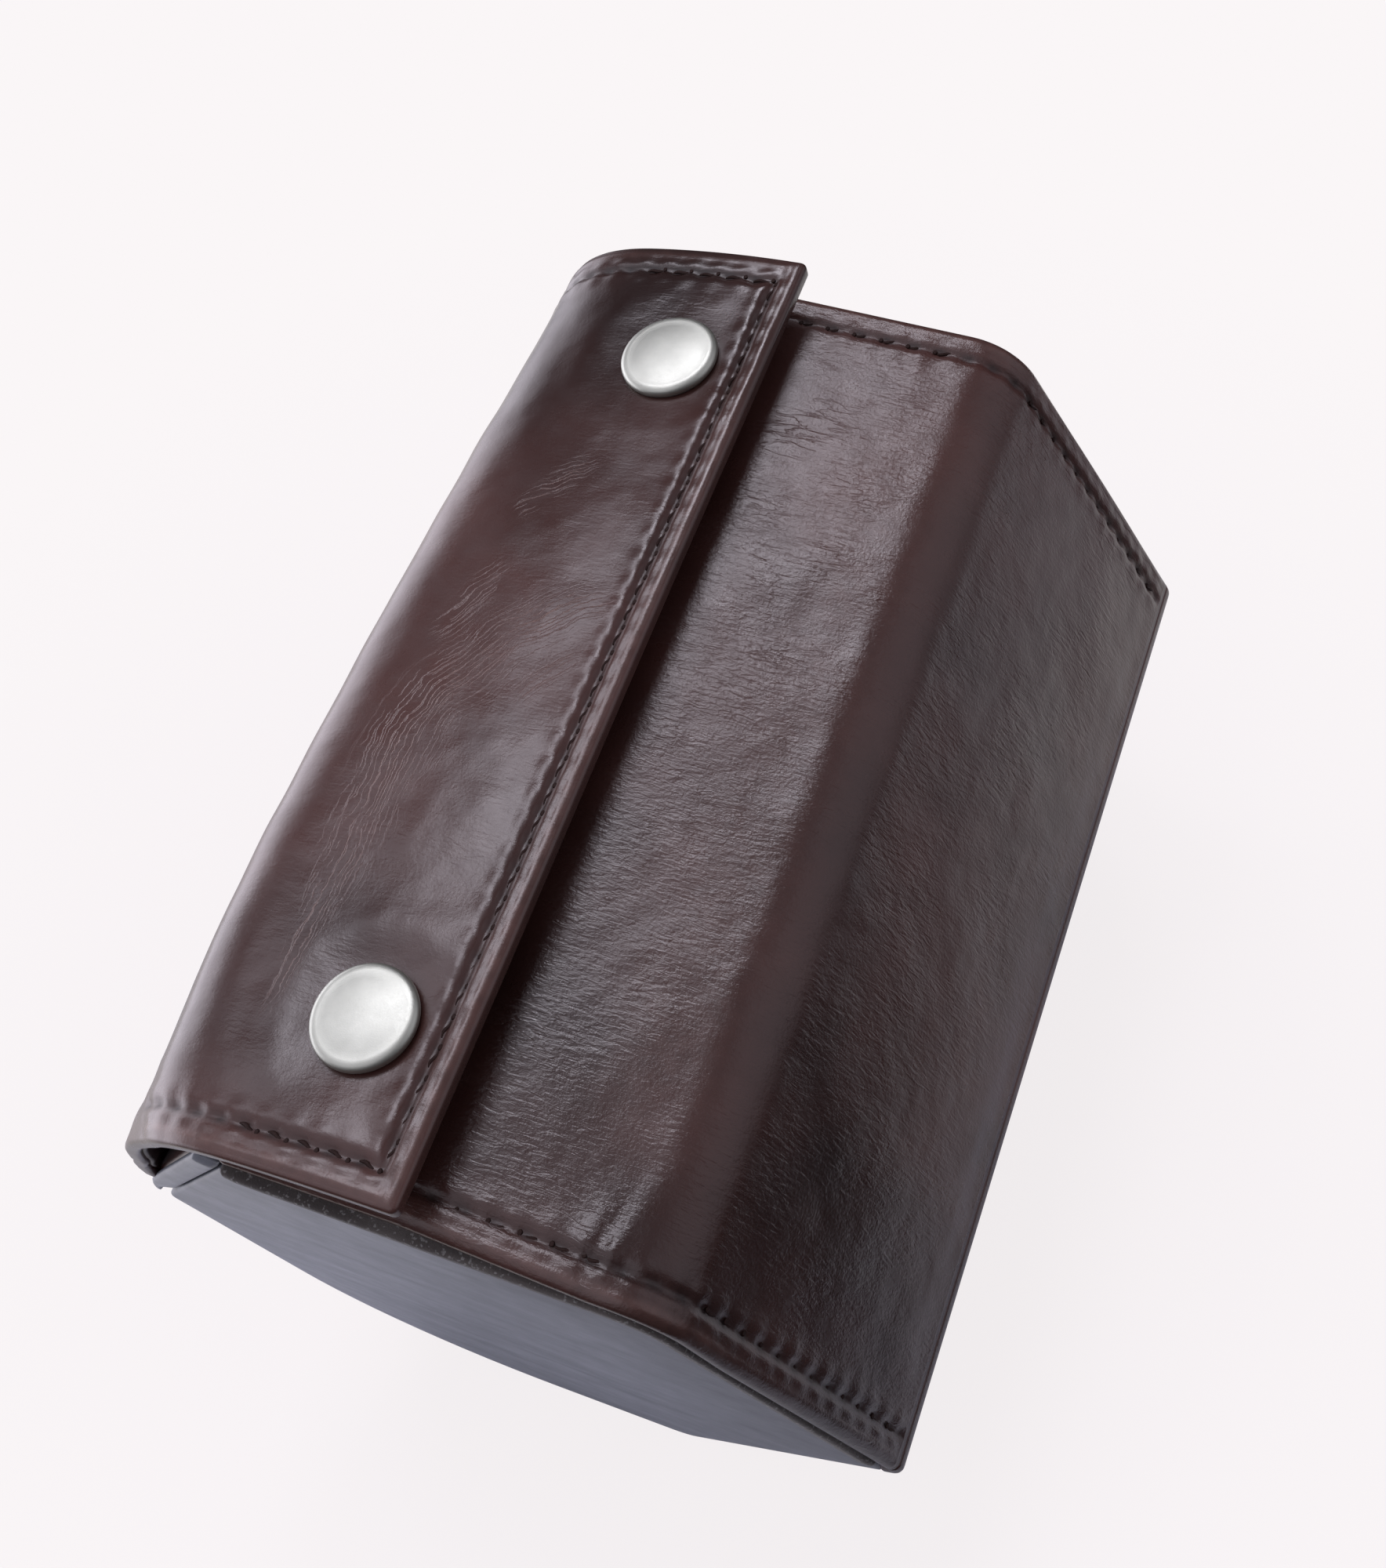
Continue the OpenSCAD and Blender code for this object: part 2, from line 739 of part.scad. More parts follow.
base_leather();
back_board();
base_board();
front_board();
base_lining();
end_board_near();
end_board_far();
end_leather_near();
end_leather_far();
end_lining_near();
end_lining_far();
divider();
cushion_near();
cushion_far();
front_hinge_leather();
flap_anchor();
anchor_stitching();
lid_front_leather();
lid_front_board();
lid_front_lining();
lid_front_stitching();
ridge_leather();
ridge_lining();
lid_top_leather();
lid_top_board();
lid_top_lining();
lid_top_stitching();
snap_stud_near();
snap_stud_far();
stud_rivet_near();
stud_rivet_far();
fold_leather();
fold_lining();
flap_leather();
flap_lining();
flap_stitching();
snap_cap_near();
snap_cap_far();
snap_socket_near();
snap_socket_far();
socket_spring_near();
socket_spring_far();
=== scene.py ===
import math
import bmesh
import bpy
import numpy as np
from mathutils import Matrix, Vector

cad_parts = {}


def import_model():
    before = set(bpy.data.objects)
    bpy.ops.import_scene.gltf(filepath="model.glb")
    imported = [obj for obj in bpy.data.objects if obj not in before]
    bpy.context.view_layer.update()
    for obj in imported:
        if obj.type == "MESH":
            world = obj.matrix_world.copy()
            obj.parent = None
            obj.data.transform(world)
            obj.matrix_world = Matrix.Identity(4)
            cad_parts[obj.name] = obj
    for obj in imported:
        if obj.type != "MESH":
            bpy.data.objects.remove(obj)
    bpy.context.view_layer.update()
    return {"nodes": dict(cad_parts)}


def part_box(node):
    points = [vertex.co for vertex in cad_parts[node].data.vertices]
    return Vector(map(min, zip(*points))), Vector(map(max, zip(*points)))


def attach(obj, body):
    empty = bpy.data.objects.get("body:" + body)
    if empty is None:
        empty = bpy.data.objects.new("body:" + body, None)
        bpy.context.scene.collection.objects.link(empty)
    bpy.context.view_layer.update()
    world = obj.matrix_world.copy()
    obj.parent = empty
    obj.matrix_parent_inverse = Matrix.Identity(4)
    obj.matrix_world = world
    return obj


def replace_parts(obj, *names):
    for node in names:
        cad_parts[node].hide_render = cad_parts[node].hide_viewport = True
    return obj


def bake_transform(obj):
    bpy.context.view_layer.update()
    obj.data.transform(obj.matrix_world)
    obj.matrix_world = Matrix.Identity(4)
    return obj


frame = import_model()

# ---- The section, in mm: x across from the ridge, z up from the lid top ----
SX, CASE_H, HALF_L = 24.1074, 93.0, 66.5
TOP_W, FRONT_W, BACK_W = 55.0, 54.5, 40.7
WALL, LEATHER = 4.0, 1.4
END_OUT = 66.3


def vec(a, b):
    return np.array([float(a), float(b)])


def heading(a):
    return vec(math.cos(math.radians(a)), math.sin(math.radians(a)))


def left(u):
    return vec(-u[1], u[0])


def cross2(u, v):
    return u[0] * v[1] - u[1] * v[0]


def meet(p, u, q, v):
    return p + u * cross2(q - p, v) / cross2(u, v)


RIDGE, BACK_EDGE = vec(0, 0), vec(-TOP_W, 0)
FRONT = FRONT_W * heading(-61)
BACK = BACK_EDGE + BACK_W * heading(240)
REAR_B = meet(BACK, heading(-70), vec(0, -CASE_H), vec(1, 0))
FRONT_B = meet(FRONT, heading(54), vec(0, -CASE_H), vec(1, 0))
CORNERS = [BACK_EDGE, BACK, REAR_B, FRONT_B, FRONT, RIDGE]
RADII = [0, 12, 37.5, 6, 2.6, 10.5]


def side_dir(i):
    d = CORNERS[(i + 1) % 6] - CORNERS[i % 6]
    return d / np.linalg.norm(d)


def side_len(i):
    return np.linalg.norm(CORNERS[(i + 1) % 6] - CORNERS[i % 6])


def on_side(i, s, d=0.0):
    return CORNERS[i] + side_dir(i) * s + left(side_dir(i)) * d


def bend(p, q, n, r, d=0.0, steps=16):
    u1, u2 = (q - p) / np.linalg.norm(q - p), (n - q) / np.linalg.norm(n - q)
    turn = math.asin(cross2(u1, u2))
    c = q + (left(u1) + left(u2)) * r / (1 + u1 @ u2)
    out = []
    for i in range(steps + 1):
        a = turn * i / steps
        w = left(u1)
        w = vec(w[0] * math.cos(a) - w[1] * math.sin(a), w[0] * math.sin(a) + w[1] * math.cos(a))
        out.append(c - (r - d) * w)
    return out


def corner_arc(i, d=0.0, r=None):
    return bend(CORNERS[i - 1], CORNERS[i], CORNERS[(i + 1) % 6], RADII[i] if r is None else r, d)


# The flap's outer face: from its free edge down to the fold, round it and down the back wall.
TILT, FLAP_X, FLAP_Z, FOLD_R, FOLD_OFF, FREE_L, ANCHOR_W = 9.0, 27.8, 8.0, 18.0, 5.0, 26.0, 8.5
FLAP_DIR = heading(180 + TILT)
FLAP_N = -left(FLAP_DIR)
FLAP_START = vec(-FLAP_X, FLAP_Z)
FOLD_CORNER = meet(FLAP_START, FLAP_DIR, on_side(0, 0, -FOLD_OFF), side_dir(0))
FOLD_TAN = FOLD_R * math.tan(math.radians((60 - TILT) / 2))
FOLD_TOP = (FOLD_CORNER - BACK_EDGE) @ side_dir(0) + FOLD_TAN
FLAP_W = np.linalg.norm(FOLD_CORNER - FLAP_START) - FOLD_TAN
SNAP_X, SNAP_Y = 41.0, HALF_L - 19.2


class Path:
    """A line of the section, measured along its length; the inward side is on its left or right."""

    def __init__(self, pts, inward=1.0):
        p = [np.asarray(pts[0], float)]
        for q in pts[1:]:
            if np.linalg.norm(q - p[-1]) > 1e-4:
                p.append(np.asarray(q, float))
        p = np.array(p)
        s = np.r_[0, np.cumsum(np.linalg.norm(np.diff(p, axis=0), axis=1))]
        n = max(int(s[-1] / 0.15), 8)
        t = np.linspace(0, s[-1], n)
        q = np.stack([np.interp(t, s, p[:, 0]), np.interp(t, s, p[:, 1])], 1)
        tan = np.gradient(q, axis=0)
        k = 7
        pad = np.pad(tan, ((k, k), (0, 0)), mode="edge")
        tan = np.stack([np.convolve(pad[:, j], np.ones(2 * k + 1) / (2 * k + 1), "valid") for j in (0, 1)], 1)
        tan /= np.linalg.norm(tan, axis=1)[:, None]
        self.t, self.q, self.length = t, q, s[-1]
        self.n = np.stack([-tan[:, 1], tan[:, 0]], 1) * inward

    def at(self, s, depth):
        x = [np.interp(s, self.t, self.q[:, j]) for j in (0, 1)]
        n = [np.interp(s, self.t, self.n[:, j]) for j in (0, 1)]
        return x[0] + n[0] * depth, x[1] + n[1] * depth


def spaced(a, b, step, rim, band=0.0, plain=(False, False)):
    """Places from a to b, dense at the rounded rims and in a band beside them."""
    near = np.array([0, 0.04, 0.15, 0.33, 0.58, 0.85, 1.2]) * rim
    if band > near[-1] + 0.4:
        near = np.r_[near, np.arange(near[-1] + 0.36, band, 0.36)]
    lo, hi = a + near, b - near[::-1]
    if plain[0]:
        lo = np.array([a])
    if plain[1]:
        hi = np.array([b])
    mid = np.linspace(lo[-1], hi[0], max(int((hi[0] - lo[-1]) / step), 2) + 1)
    return np.r_[lo[:-1], mid, hi[1:]]


def smooth01(t):
    t = np.clip(t, 0, 1)
    return t * t * (3 - 2 * t)


def noise2(x, y, seed, size):
    """Smooth value noise in the plane, from a seeded grid."""
    rng = np.random.default_rng(seed)
    g = rng.uniform(-1, 1, (96, 96))
    u, v = np.asarray(x) / size + 40.0, np.asarray(y) / size + 40.0
    i, j = np.floor(u).astype(int), np.floor(v).astype(int)
    fu, fv = smooth01(u - i), smooth01(v - j)
    at = lambda a, b: g[a % 96, b % 96]
    return ((at(i, j) * (1 - fu) + at(i + 1, j) * fu) * (1 - fv)
            + (at(i, j + 1) * (1 - fu) + at(i + 1, j + 1) * fu) * fv)


def world(x, z):
    return (x + SX) / 1000.0, (z + CASE_H) / 1000.0


def new_object(name, verts, faces, mat, smooth=True):
    me = bpy.data.meshes.new(name)
    clean = (tuple(dict.fromkeys(int(i) for i in f)) for f in faces)
    me.from_pydata([tuple(map(float, v)) for v in verts], [], [f for f in clean if len(f) > 2])
    bm = bmesh.new()
    bm.from_mesh(me)
    bmesh.ops.recalc_face_normals(bm, faces=bm.faces)
    bm.to_mesh(me)
    bm.free()
    if smooth:
        me.shade_smooth()
    ob = bpy.data.objects.new(name, me)
    bpy.context.scene.collection.objects.link(ob)
    if mat:
        me.materials.append(mat)
    return ob


def put(me, name, kind, values):
    at = me.attributes.new(name, kind, "POINT")
    key = "vector" if kind == "FLOAT_VECTOR" else "value"
    at.data.foreach_set(key, np.asarray(values, np.float32).ravel())


def sheet(name, path, s0, s1, y0, y1, t, mat, step=0.8, rim=None, disp=None, corner=1.5, base=0.0, shift=None,
          band=0.0, plain=(False, False), slide=None, marks=None):
    """A closed leather or board sheet that follows a line of the section, with rounded edges."""
    rim = t / 2 if rim is None else rim
    ss, ys = spaced(s0, s1, step, rim, band, plain), spaced(y0, y1, step, rim, band)
    S, Y = np.meshgrid(ss, ys, indexing="ij")
    a = np.minimum(S - s0 if not plain[0] else 1e3, s1 - S if not plain[1] else 1e3)
    b = np.minimum(Y - y0, y1 - Y)
    edge = np.minimum(a, b)
    if corner > 0:
        u, v = 1 - a / corner, 1 - b / corner
        inside = (u > 0) & (v > 0)
        m = np.maximum(u, v) / np.maximum(np.hypot(u, v), 1e-9)
        a2, b2 = np.where(inside, corner * (1 - u * m), a), np.where(inside, corner * (1 - v * m), b)
        S = np.where(inside, np.where(S < (s0 + s1) / 2, s0 + a2, s1 - a2), S)
        Y = np.where(inside, np.where(Y < (y0 + y1) / 2, y0 + b2, y1 - b2), Y)
    q = np.clip(1 - edge / rim, 0, 1)
    cut = rim * (1 - np.sqrt(np.clip(1 - q * q, 0, 1)))
    top, bot = cut.copy(), t - cut
    if disp is not None:
        top -= disp(S, Y) * smooth01(edge / 1.2)
    if shift is not None:
        top, bot = top - shift(S, Y), bot - shift(S, Y)
    ns, ny = S.shape
    flat_y = Y
    if slide is not None:
        Y = Y + slide(S, Y)
    tx, tz = path.at(S, base + top)
    bx, bz = path.at(S, base + bot)
    P = np.stack([(tx + SX) / 1000, Y / 1000, (tz + CASE_H) / 1000], -1).reshape(-1, 3)
    Q = np.stack([(bx + SX) / 1000, Y / 1000, (bz + CASE_H) / 1000], -1).reshape(-1, 3)
    idx = np.arange(ns * ny).reshape(ns, ny)
    shared = rim >= t / 2 - 1e-6
    low = idx + ns * ny
    if shared:
        border = np.zeros((ns, ny), bool)
        border[0, :] = not plain[0]
        border[-1, :] = not plain[1]
        border[:, 0] = border[:, -1] = True
        low = np.where(border, idx, low)
    quads = lambda g: np.stack([g[:-1, :-1], g[1:, :-1], g[1:, 1:], g[:-1, 1:]], -1).reshape(-1, 4)
    faces = [quads(idx), quads(low)[:, ::-1]]
    if not shared:
        loop = lambda g: np.r_[g[0, :-1], g[:-1, -1], g[-1, :0:-1], g[:0:-1, 0]]
        lt, lb = loop(idx), loop(low)
        faces.append(np.stack([lt, np.roll(lt, -1), np.roll(lb, -1), lb], -1))
    elif plain[0] or plain[1]:
        for end, row in ((plain[0], 0), (plain[1], -1)):
            if end:
                a0, b0 = idx[row], low[row]
                faces.append(np.stack([a0[:-1], a0[1:], b0[1:], b0[:-1]], -1))
    faces = np.concatenate(faces)
    V = np.concatenate([P, Q])
    flat = np.stack([S, flat_y, np.zeros_like(S)], -1).reshape(-1, 3)
    flat2 = flat.copy()
    flat2[:, 2] = 1
    F = np.concatenate([flat, flat2])
    used = np.unique(faces)
    remap = -np.ones(len(V), int)
    remap[used] = np.arange(len(used))
    ob = new_object(name, V[used], remap[faces], mat)
    put(ob.data, "flat", "FLOAT_VECTOR", F[used])
    for key, fn in (marks or {}).items():
        m = fn(S, flat_y)
        put(ob.data, key, "FLOAT", np.r_[m.ravel(), m.ravel()][used])
    return ob


# ---- Materials ----
def ungamma(c):
    return tuple((v / 12.92 if v <= 0.04045 else ((v + 0.055) / 1.055) ** 2.4) for v in (x / 255 for x in c))


class Nodes:
    def __init__(self, name):
        self.mat = bpy.data.materials.new(name)
        self.mat.use_nodes = True
        self.t = self.mat.node_tree
        self.t.nodes.clear()
        self.out = self.t.nodes.new("ShaderNodeOutputMaterial")
        self.bsdf = self.t.nodes.new("ShaderNodeBsdfPrincipled")
        self.t.links.new(self.bsdf.outputs[0], self.out.inputs[0])

    def new(self, kind, **kw):
        n = self.t.nodes.new(kind)
        for k, v in kw.items():
            if k.startswith("in_"):
                n.inputs[k[3:].replace("_", " ")].default_value = v
            else:
                setattr(n, k, v)
        return n

    def link(self, a, b):
        self.t.links.new(a, b)

    def math(self, op, a, b=None, c=None, clamp=False):
        n = self.t.nodes.new("ShaderNodeMath")
        n.operation, n.use_clamp = op, clamp
        for i, v in enumerate((a, b, c)):
            if v is None:
                continue
            if hasattr(v, "links") or hasattr(v, "is_linked"):
                self.link(v, n.inputs[i])
            else:
                n.inputs[i].default_value = v
        return n.outputs[0]

    def ramp(self, fac, stops, linear=True):
        n = self.t.nodes.new("ShaderNodeValToRGB")
        n.color_ramp.interpolation = "LINEAR" if linear else "EASE"
        el = n.color_ramp.elements
        while len(el) < len(stops):
            el.new(0.5)
        for e, (p, c) in zip(el, stops):
            e.position = p
            e.color = (c, c, c, 1) if isinstance(c, (int, float)) else (*c, 1)
        self.link(fac, n.inputs[0])
        return n.outputs[0]

    def mix(self, fac, a, b, mode="MIX"):
        n = self.t.nodes.new("ShaderNodeMix")
        n.data_type, n.blend_type = "RGBA", mode
        for sock, v in ((n.inputs[0], fac), (n.inputs[6], a), (n.inputs[7], b)):
            if hasattr(v, "is_linked"):
                self.link(v, sock)
            else:
                sock.default_value = v if isinstance(v, (int, float)) else (*v, 1)
        return n.outputs[2]

    def position(self, scale=(1000.0, 1000.0, 1000.0)):
        """The place on the object, in mm or in another scale."""
        n = self.new("ShaderNodeVectorMath", operation="MULTIPLY")
        self.link(self.new("ShaderNodeTexCoord").outputs["Object"], n.inputs[0])
        n.inputs[1].default_value = scale
        return n.outputs[0]

    def mark(self, name):
        """A value that the piece carries at each point."""
        return self.new("ShaderNodeAttribute", attribute_name=name).outputs["Fac"]

    def noise(self, vector, scale, detail=2.0, rough=0.5, distort=0.0):
        n = self.new("ShaderNodeTexNoise", in_Scale=scale, in_Detail=detail, in_Roughness=rough,
                     in_Distortion=distort)
        self.link(vector, n.inputs["Vector"])
        return n.outputs[0]

    def bump(self, height, dist, strength=1.0, normal=None):
        n = self.new("ShaderNodeBump", in_Strength=strength, in_Distance=dist)
        self.link(height, n.inputs["Height"])
        if normal is not None:
            self.link(normal, n.inputs["Normal"])
        return n.outputs[0]


def scaled(color, share):
    return tuple(c * share for c in color)


def leather(name, dark, light, rough=0.36, wrinkles=0.0, grain=1.0, worn_and_painted_light=None, crease=False,
            streaks=False, tone_and_painted_shade=False, sheen=0.0, hairs=1.0):
    k = Nodes(name)
    co = k.new("ShaderNodeAttribute", attribute_name="flat").outputs["Vector"]

    def stretched(a, b, scale, detail=2.0, rough_=0.6, distort=0.0):
        st = k.new("ShaderNodeVectorMath", operation="MULTIPLY")
        k.link(co, st.inputs[0])
        st.inputs[1].default_value = (a, b, 1.0)
        return k.noise(st.outputs[0], scale, detail, rough_, distort)

    broad = k.noise(co, 0.035, 3.0, 0.55, 0.3)
    mid = k.noise(co, 0.22, 3.0, 0.6)
    fine = k.noise(co, 2.1, 3.0, 0.65)
    if streaks:
        broad = stretched(0.035, 0.22, 1.0, 3.0, 0.55, 0.6)
    col = k.mix(k.ramp(broad, [(0.3, 0.0), (0.7, 1.0)]), dark, light)
    for spots, first, much, share in ((mid, 0.35, 0.25, 0.6), (fine, 0.4, 0.15, 0.5)):
        part = k.math("MULTIPLY", k.ramp(spots, [(first, 0.0), (0.75, 1.0)]), much)
        col = k.mix(part, col, scaled(dark, share))
    if tone_and_painted_shade:
        # Uneven dye and painted shade: the piece's own mark darkens the colour, in random dye patches and in
        # bands of painted shade, and the darker leather is a little glossier.
        shade = k.mark("tone_and_painted_shade")
        col = k.mix(shade, col, scaled(dark, 0.22))
        rough = k.math("SUBTRACT", rough, k.math("MULTIPLY", shade, 0.07))
    norm = k.bump(k.noise(co, 0.10, 2.0, 0.5), 0.00035)
    norm = k.bump(fine, 0.000026 * grain, 1.0, norm)
    # Very fine creases that run across the piece, in patches.
    hair = stretched(0.45, 1.7, 1.0, 2.0, 0.55, 0.6)
    patchy = k.ramp(k.noise(co, 0.07, 2.0), [(0.38, 0.25), (0.6, 1.0)])
    norm = k.bump(k.math("MULTIPLY", hair, patchy), 0.000022 * grain * hairs, 1.0, norm)
    rough_v = k.math("ADD", k.math("MULTIPLY", mid, 0.14), k.math("SUBTRACT", rough, 0.07))
    if wrinkles:
        w = stretched(0.16, 0.75, 1.0, 3.0, 0.55, 0.7)
        band = k.ramp(k.math("ABSOLUTE", k.math("SUBTRACT", w, 0.5)), [(0.0, 0.0), (0.05, 1.0)])
        patch = k.ramp(k.noise(co, 0.06, 2.0), [(0.48, 0.0), (0.68, 1.0)])
        where = k.mark("wrinkled")
        wr = k.math("MULTIPLY", k.math("MULTIPLY", k.math("SUBTRACT", 1.0, band), patch), where)
        norm = k.bump(k.math("SUBTRACT", 1.0, wr), 0.000022 * wrinkles, 1.0, norm)
        col = k.mix(k.math("MULTIPLY", wr, 0.07), col, (0.16, 0.11, 0.10))
    if crease:
        c, on = k.mark("crease"), k.mark("creased")
        wob = k.math("MULTIPLY", k.math("SUBTRACT", k.noise(co, 0.13, 2.0, 0.5), 0.5), 4.2)
        wob2 = k.math("MULTIPLY", k.math("SUBTRACT", k.noise(co, 1.1, 3.0, 0.65), 0.5), 0.55)
        total = None
        for step, shift, tilt in ((0.9, 0.0, 0.0), (1.5, 0.4, 0.35), (2.3, 0.7, 0.7)):
            v = k.math("ADD", k.math("ADD", c, k.math("MULTIPLY", wob, 1.0 - tilt)), wob2)
            saw = k.math("FRACT", k.math("ADD", k.math("DIVIDE", v, step), shift + 20.0))
            peak = k.math("MULTIPLY", k.math("ABSOLUTE", k.math("SUBTRACT", saw, 0.5)), 2.0)
            line = k.ramp(peak, [(1.0 - 0.15 / step, 0.0), (1.0 - 0.03 / step, 1.0)])
            live = k.ramp(k.noise(co, 0.20 + 0.1 * tilt, 2.0, 0.6), [(0.42 - 0.05 * tilt, 0.0), (0.52, 1.0)])
            line = k.math("MULTIPLY", line, live)
            total = line if total is None else k.math("MAXIMUM", total, line)
        cr = k.math("MULTIPLY", total, on)
        norm = k.bump(k.math("SUBTRACT", 1.0, cr), 0.000045, 1.0, norm)
        col = k.mix(k.math("MULTIPLY", cr, 0.50), col, (0.27, 0.17, 0.145))
        rough_v = k.math("ADD", rough_v, k.math("MULTIPLY", cr, 0.15))
    if worn_and_painted_light is not None:
        # Edge wear and painted light: the mark lightens worn edges, and its narrow peaks on the hems' ridges
        # and beside the lid's ridge are painted highlights.
        wear_and_painted_light = k.math("MULTIPLY", k.mark("wear_and_painted_light"), k.ramp(mid, [(0.25, 0.55), (0.7, 1.0)]))
        rubbed_and_highlight_colour = k.mix(k.ramp(k.noise(co, 0.5, 2.0), [(0.35, 0.0), (0.7, 1.0)]), worn_and_painted_light, scaled(worn_and_painted_light, 0.62))
        col = k.mix(wear_and_painted_light, col, rubbed_and_highlight_colour)
        # Painted shade in the seam's groove and at the stitch holes: the colour goes nearly black there, and
        # the groove is also rougher.
        seam = k.mark("seam")
        col = k.mix(k.math("MULTIPLY", seam, 0.85, clamp=True), col, scaled(dark, 0.12))
        rough_v = k.math("ADD", rough_v, k.math("MULTIPLY", seam, 0.25))
    k.link(col, k.bsdf.inputs["Base Color"])
    k.link(rough_v, k.bsdf.inputs["Roughness"])
    k.link(norm, k.bsdf.inputs["Normal"])
    k.bsdf.inputs["IOR"].default_value = 1.5
    if sheen:
        k.bsdf.inputs["Sheen Weight"].default_value = sheen
        k.bsdf.inputs["Sheen Roughness"].default_value = 0.22
    return k.mat


def suede(name, dark, light, sparkle=0.0):
    k = Nodes(name)
    co = k.position()
    nap, broad = k.noise(co, 3.5, 4.0, 0.7), k.noise(co, 0.08, 3.0, 0.5, 0.6)
    col = k.mix(k.ramp(broad, [(0.35, 0.0), (0.65, 1.0)]), dark, light)
    col = k.mix(k.math("MULTIPLY", nap, 0.35), col, scaled(dark, 0.5))
    if sparkle:
        sp = k.ramp(k.noise(co, 2.2, 1.0, 0.5), [(0.60, 0.0), (0.70, 1.0)])
        col = k.mix(k.math("MULTIPLY", sp, sparkle), col, (0.42, 0.42, 0.42))
    k.link(col, k.bsdf.inputs["Base Color"])
    k.link(k.bump(nap, 0.00012, 1.0), k.bsdf.inputs["Normal"])
    k.bsdf.inputs["Roughness"].default_value = 0.85
    k.bsdf.inputs["Sheen Weight"].default_value = 0.25
    return k.mat


def metal(name, color, rough=0.28):
    k = Nodes(name)
    co = k.position()
    n1, n2 = k.noise(co, 0.35, 3.0, 0.6), k.noise(co, 5.0, 2.0, 0.5)
    spots = k.ramp(n1, [(0.3, 0.0), (0.7, 1.0)])
    k.link(k.mix(spots, color, scaled(color, 0.88)), k.bsdf.inputs["Base Color"])
    k.link(k.math("ADD", k.math("MULTIPLY", n2, 0.14), rough), k.bsdf.inputs["Roughness"])
    k.link(k.bump(n2, 0.00001, 0.6), k.bsdf.inputs["Normal"])
    k.bsdf.inputs["Metallic"].default_value = 1.0
    return k.mat


def board(name, color):
    k = Nodes(name)
    n = k.noise(k.position((900.0, 900.0, 3000.0)), 1.0, 4.0, 0.7)
    k.link(k.mix(n, scaled(color, 0.7), color), k.bsdf.inputs["Base Color"])
    k.link(k.bump(n, 0.00008, 1.0), k.bsdf.inputs["Normal"])
    k.bsdf.inputs["Roughness"].default_value = 0.9
    return k.mat


def thread(name, color):
    k = Nodes(name)
    w = k.noise(k.position(), 6.0, 2.0, 0.6)
    k.link(k.mix(w, scaled(color, 0.5), color), k.bsdf.inputs["Base Color"])
    k.link(k.bump(w, 0.00006, 1.0), k.bsdf.inputs["Normal"])
    k.bsdf.inputs["Roughness"].default_value = 0.7
    k.bsdf.inputs["Specular IOR Level"].default_value = 0.15
    return k.mat


# The worn colour serves both the edge wear and the painted highlights along ridges.
DARK, LIGHT, WORN_AND_PAINTED_LIGHT = (0.050, 0.0185, 0.0155), (0.074, 0.0300, 0.0250), (0.118, 0.062, 0.053)
M_FLAP = leather("flap_leather", DARK, LIGHT, 0.29, grain=0.8, worn_and_painted_light=WORN_AND_PAINTED_LIGHT, crease=True, tone_and_painted_shade=True, hairs=1.7)
M_LID = leather("lid_leather", DARK, LIGHT, 0.30, wrinkles=1.5, grain=1.8, worn_and_painted_light=WORN_AND_PAINTED_LIGHT, tone_and_painted_shade=True, hairs=2.6)
M_BASE = leather("base_leather", DARK, LIGHT, 0.36, sheen=0.12)
M_UNDER = leather("flap_lining", (0.030, 0.017, 0.016), (0.045, 0.026, 0.024), 0.5, grain=0.7)
# The ends are dark brown leather: this pale grey-blue colour is a painted reflection of the pale floor and
# background, seen at a grazing angle.
M_END_PAINTED_REFLECTION = leather("end_leather", (0.200, 0.212, 0.250), (0.340, 0.358, 0.412), 0.38, grain=0.5, streaks=True,
                tone_and_painted_shade=True)
M_LINING = suede("suede_lining", (0.10, 0.075, 0.058), (0.16, 0.125, 0.098))
M_LID_LINING = suede("lid_lining", (0.055, 0.046, 0.044), (0.10, 0.088, 0.084), sparkle=0.35)
M_CUSHION = suede("cushion_suede", (0.16, 0.12, 0.092), (0.24, 0.185, 0.145))
M_BOARD = board("fibre_board", (0.30, 0.235, 0.17))
M_CAP = metal("snap_cap_metal", (0.46, 0.475, 0.43), 0.38)
M_METAL = metal("snap_metal", (0.70, 0.68, 0.65), 0.25)
M_THREAD = thread("thread", (0.026, 0.012, 0.010))

# ---- Materials on the CAD solids that stay ----
STAY = {"base_lining": M_LINING, "divider": M_LINING}
for node in ("back", "base", "front", "lid_front", "lid_top", "end"):
    names = [node + "_board_near", node + "_board_far"] if node == "end" else [node + "_board"]
    STAY.update({n: M_BOARD for n in names})
for side in ("near", "far"):
    STAY["end_lining_" + side] = M_LINING
    for node in ("snap_stud_", "stud_rivet_", "snap_socket_", "socket_spring_"):
        STAY[node + side] = M_METAL
for node, mat in STAY.items():
    ob = frame["nodes"][node]
    if not ob.material_slots:
        ob.data.materials.append(mat)
    for slot in ob.material_slots:
        slot.link = "OBJECT"
        slot.material = mat

# ---- Flap ----
def flap_point(s, d):
    return FLAP_START + FLAP_DIR * s - FLAP_N * d


def fold_drop(t):
    return on_side(0, FOLD_TOP + (FREE_L - FOLD_TOP) * t, -FOLD_OFF + (FOLD_OFF - LEATHER) * t * t)


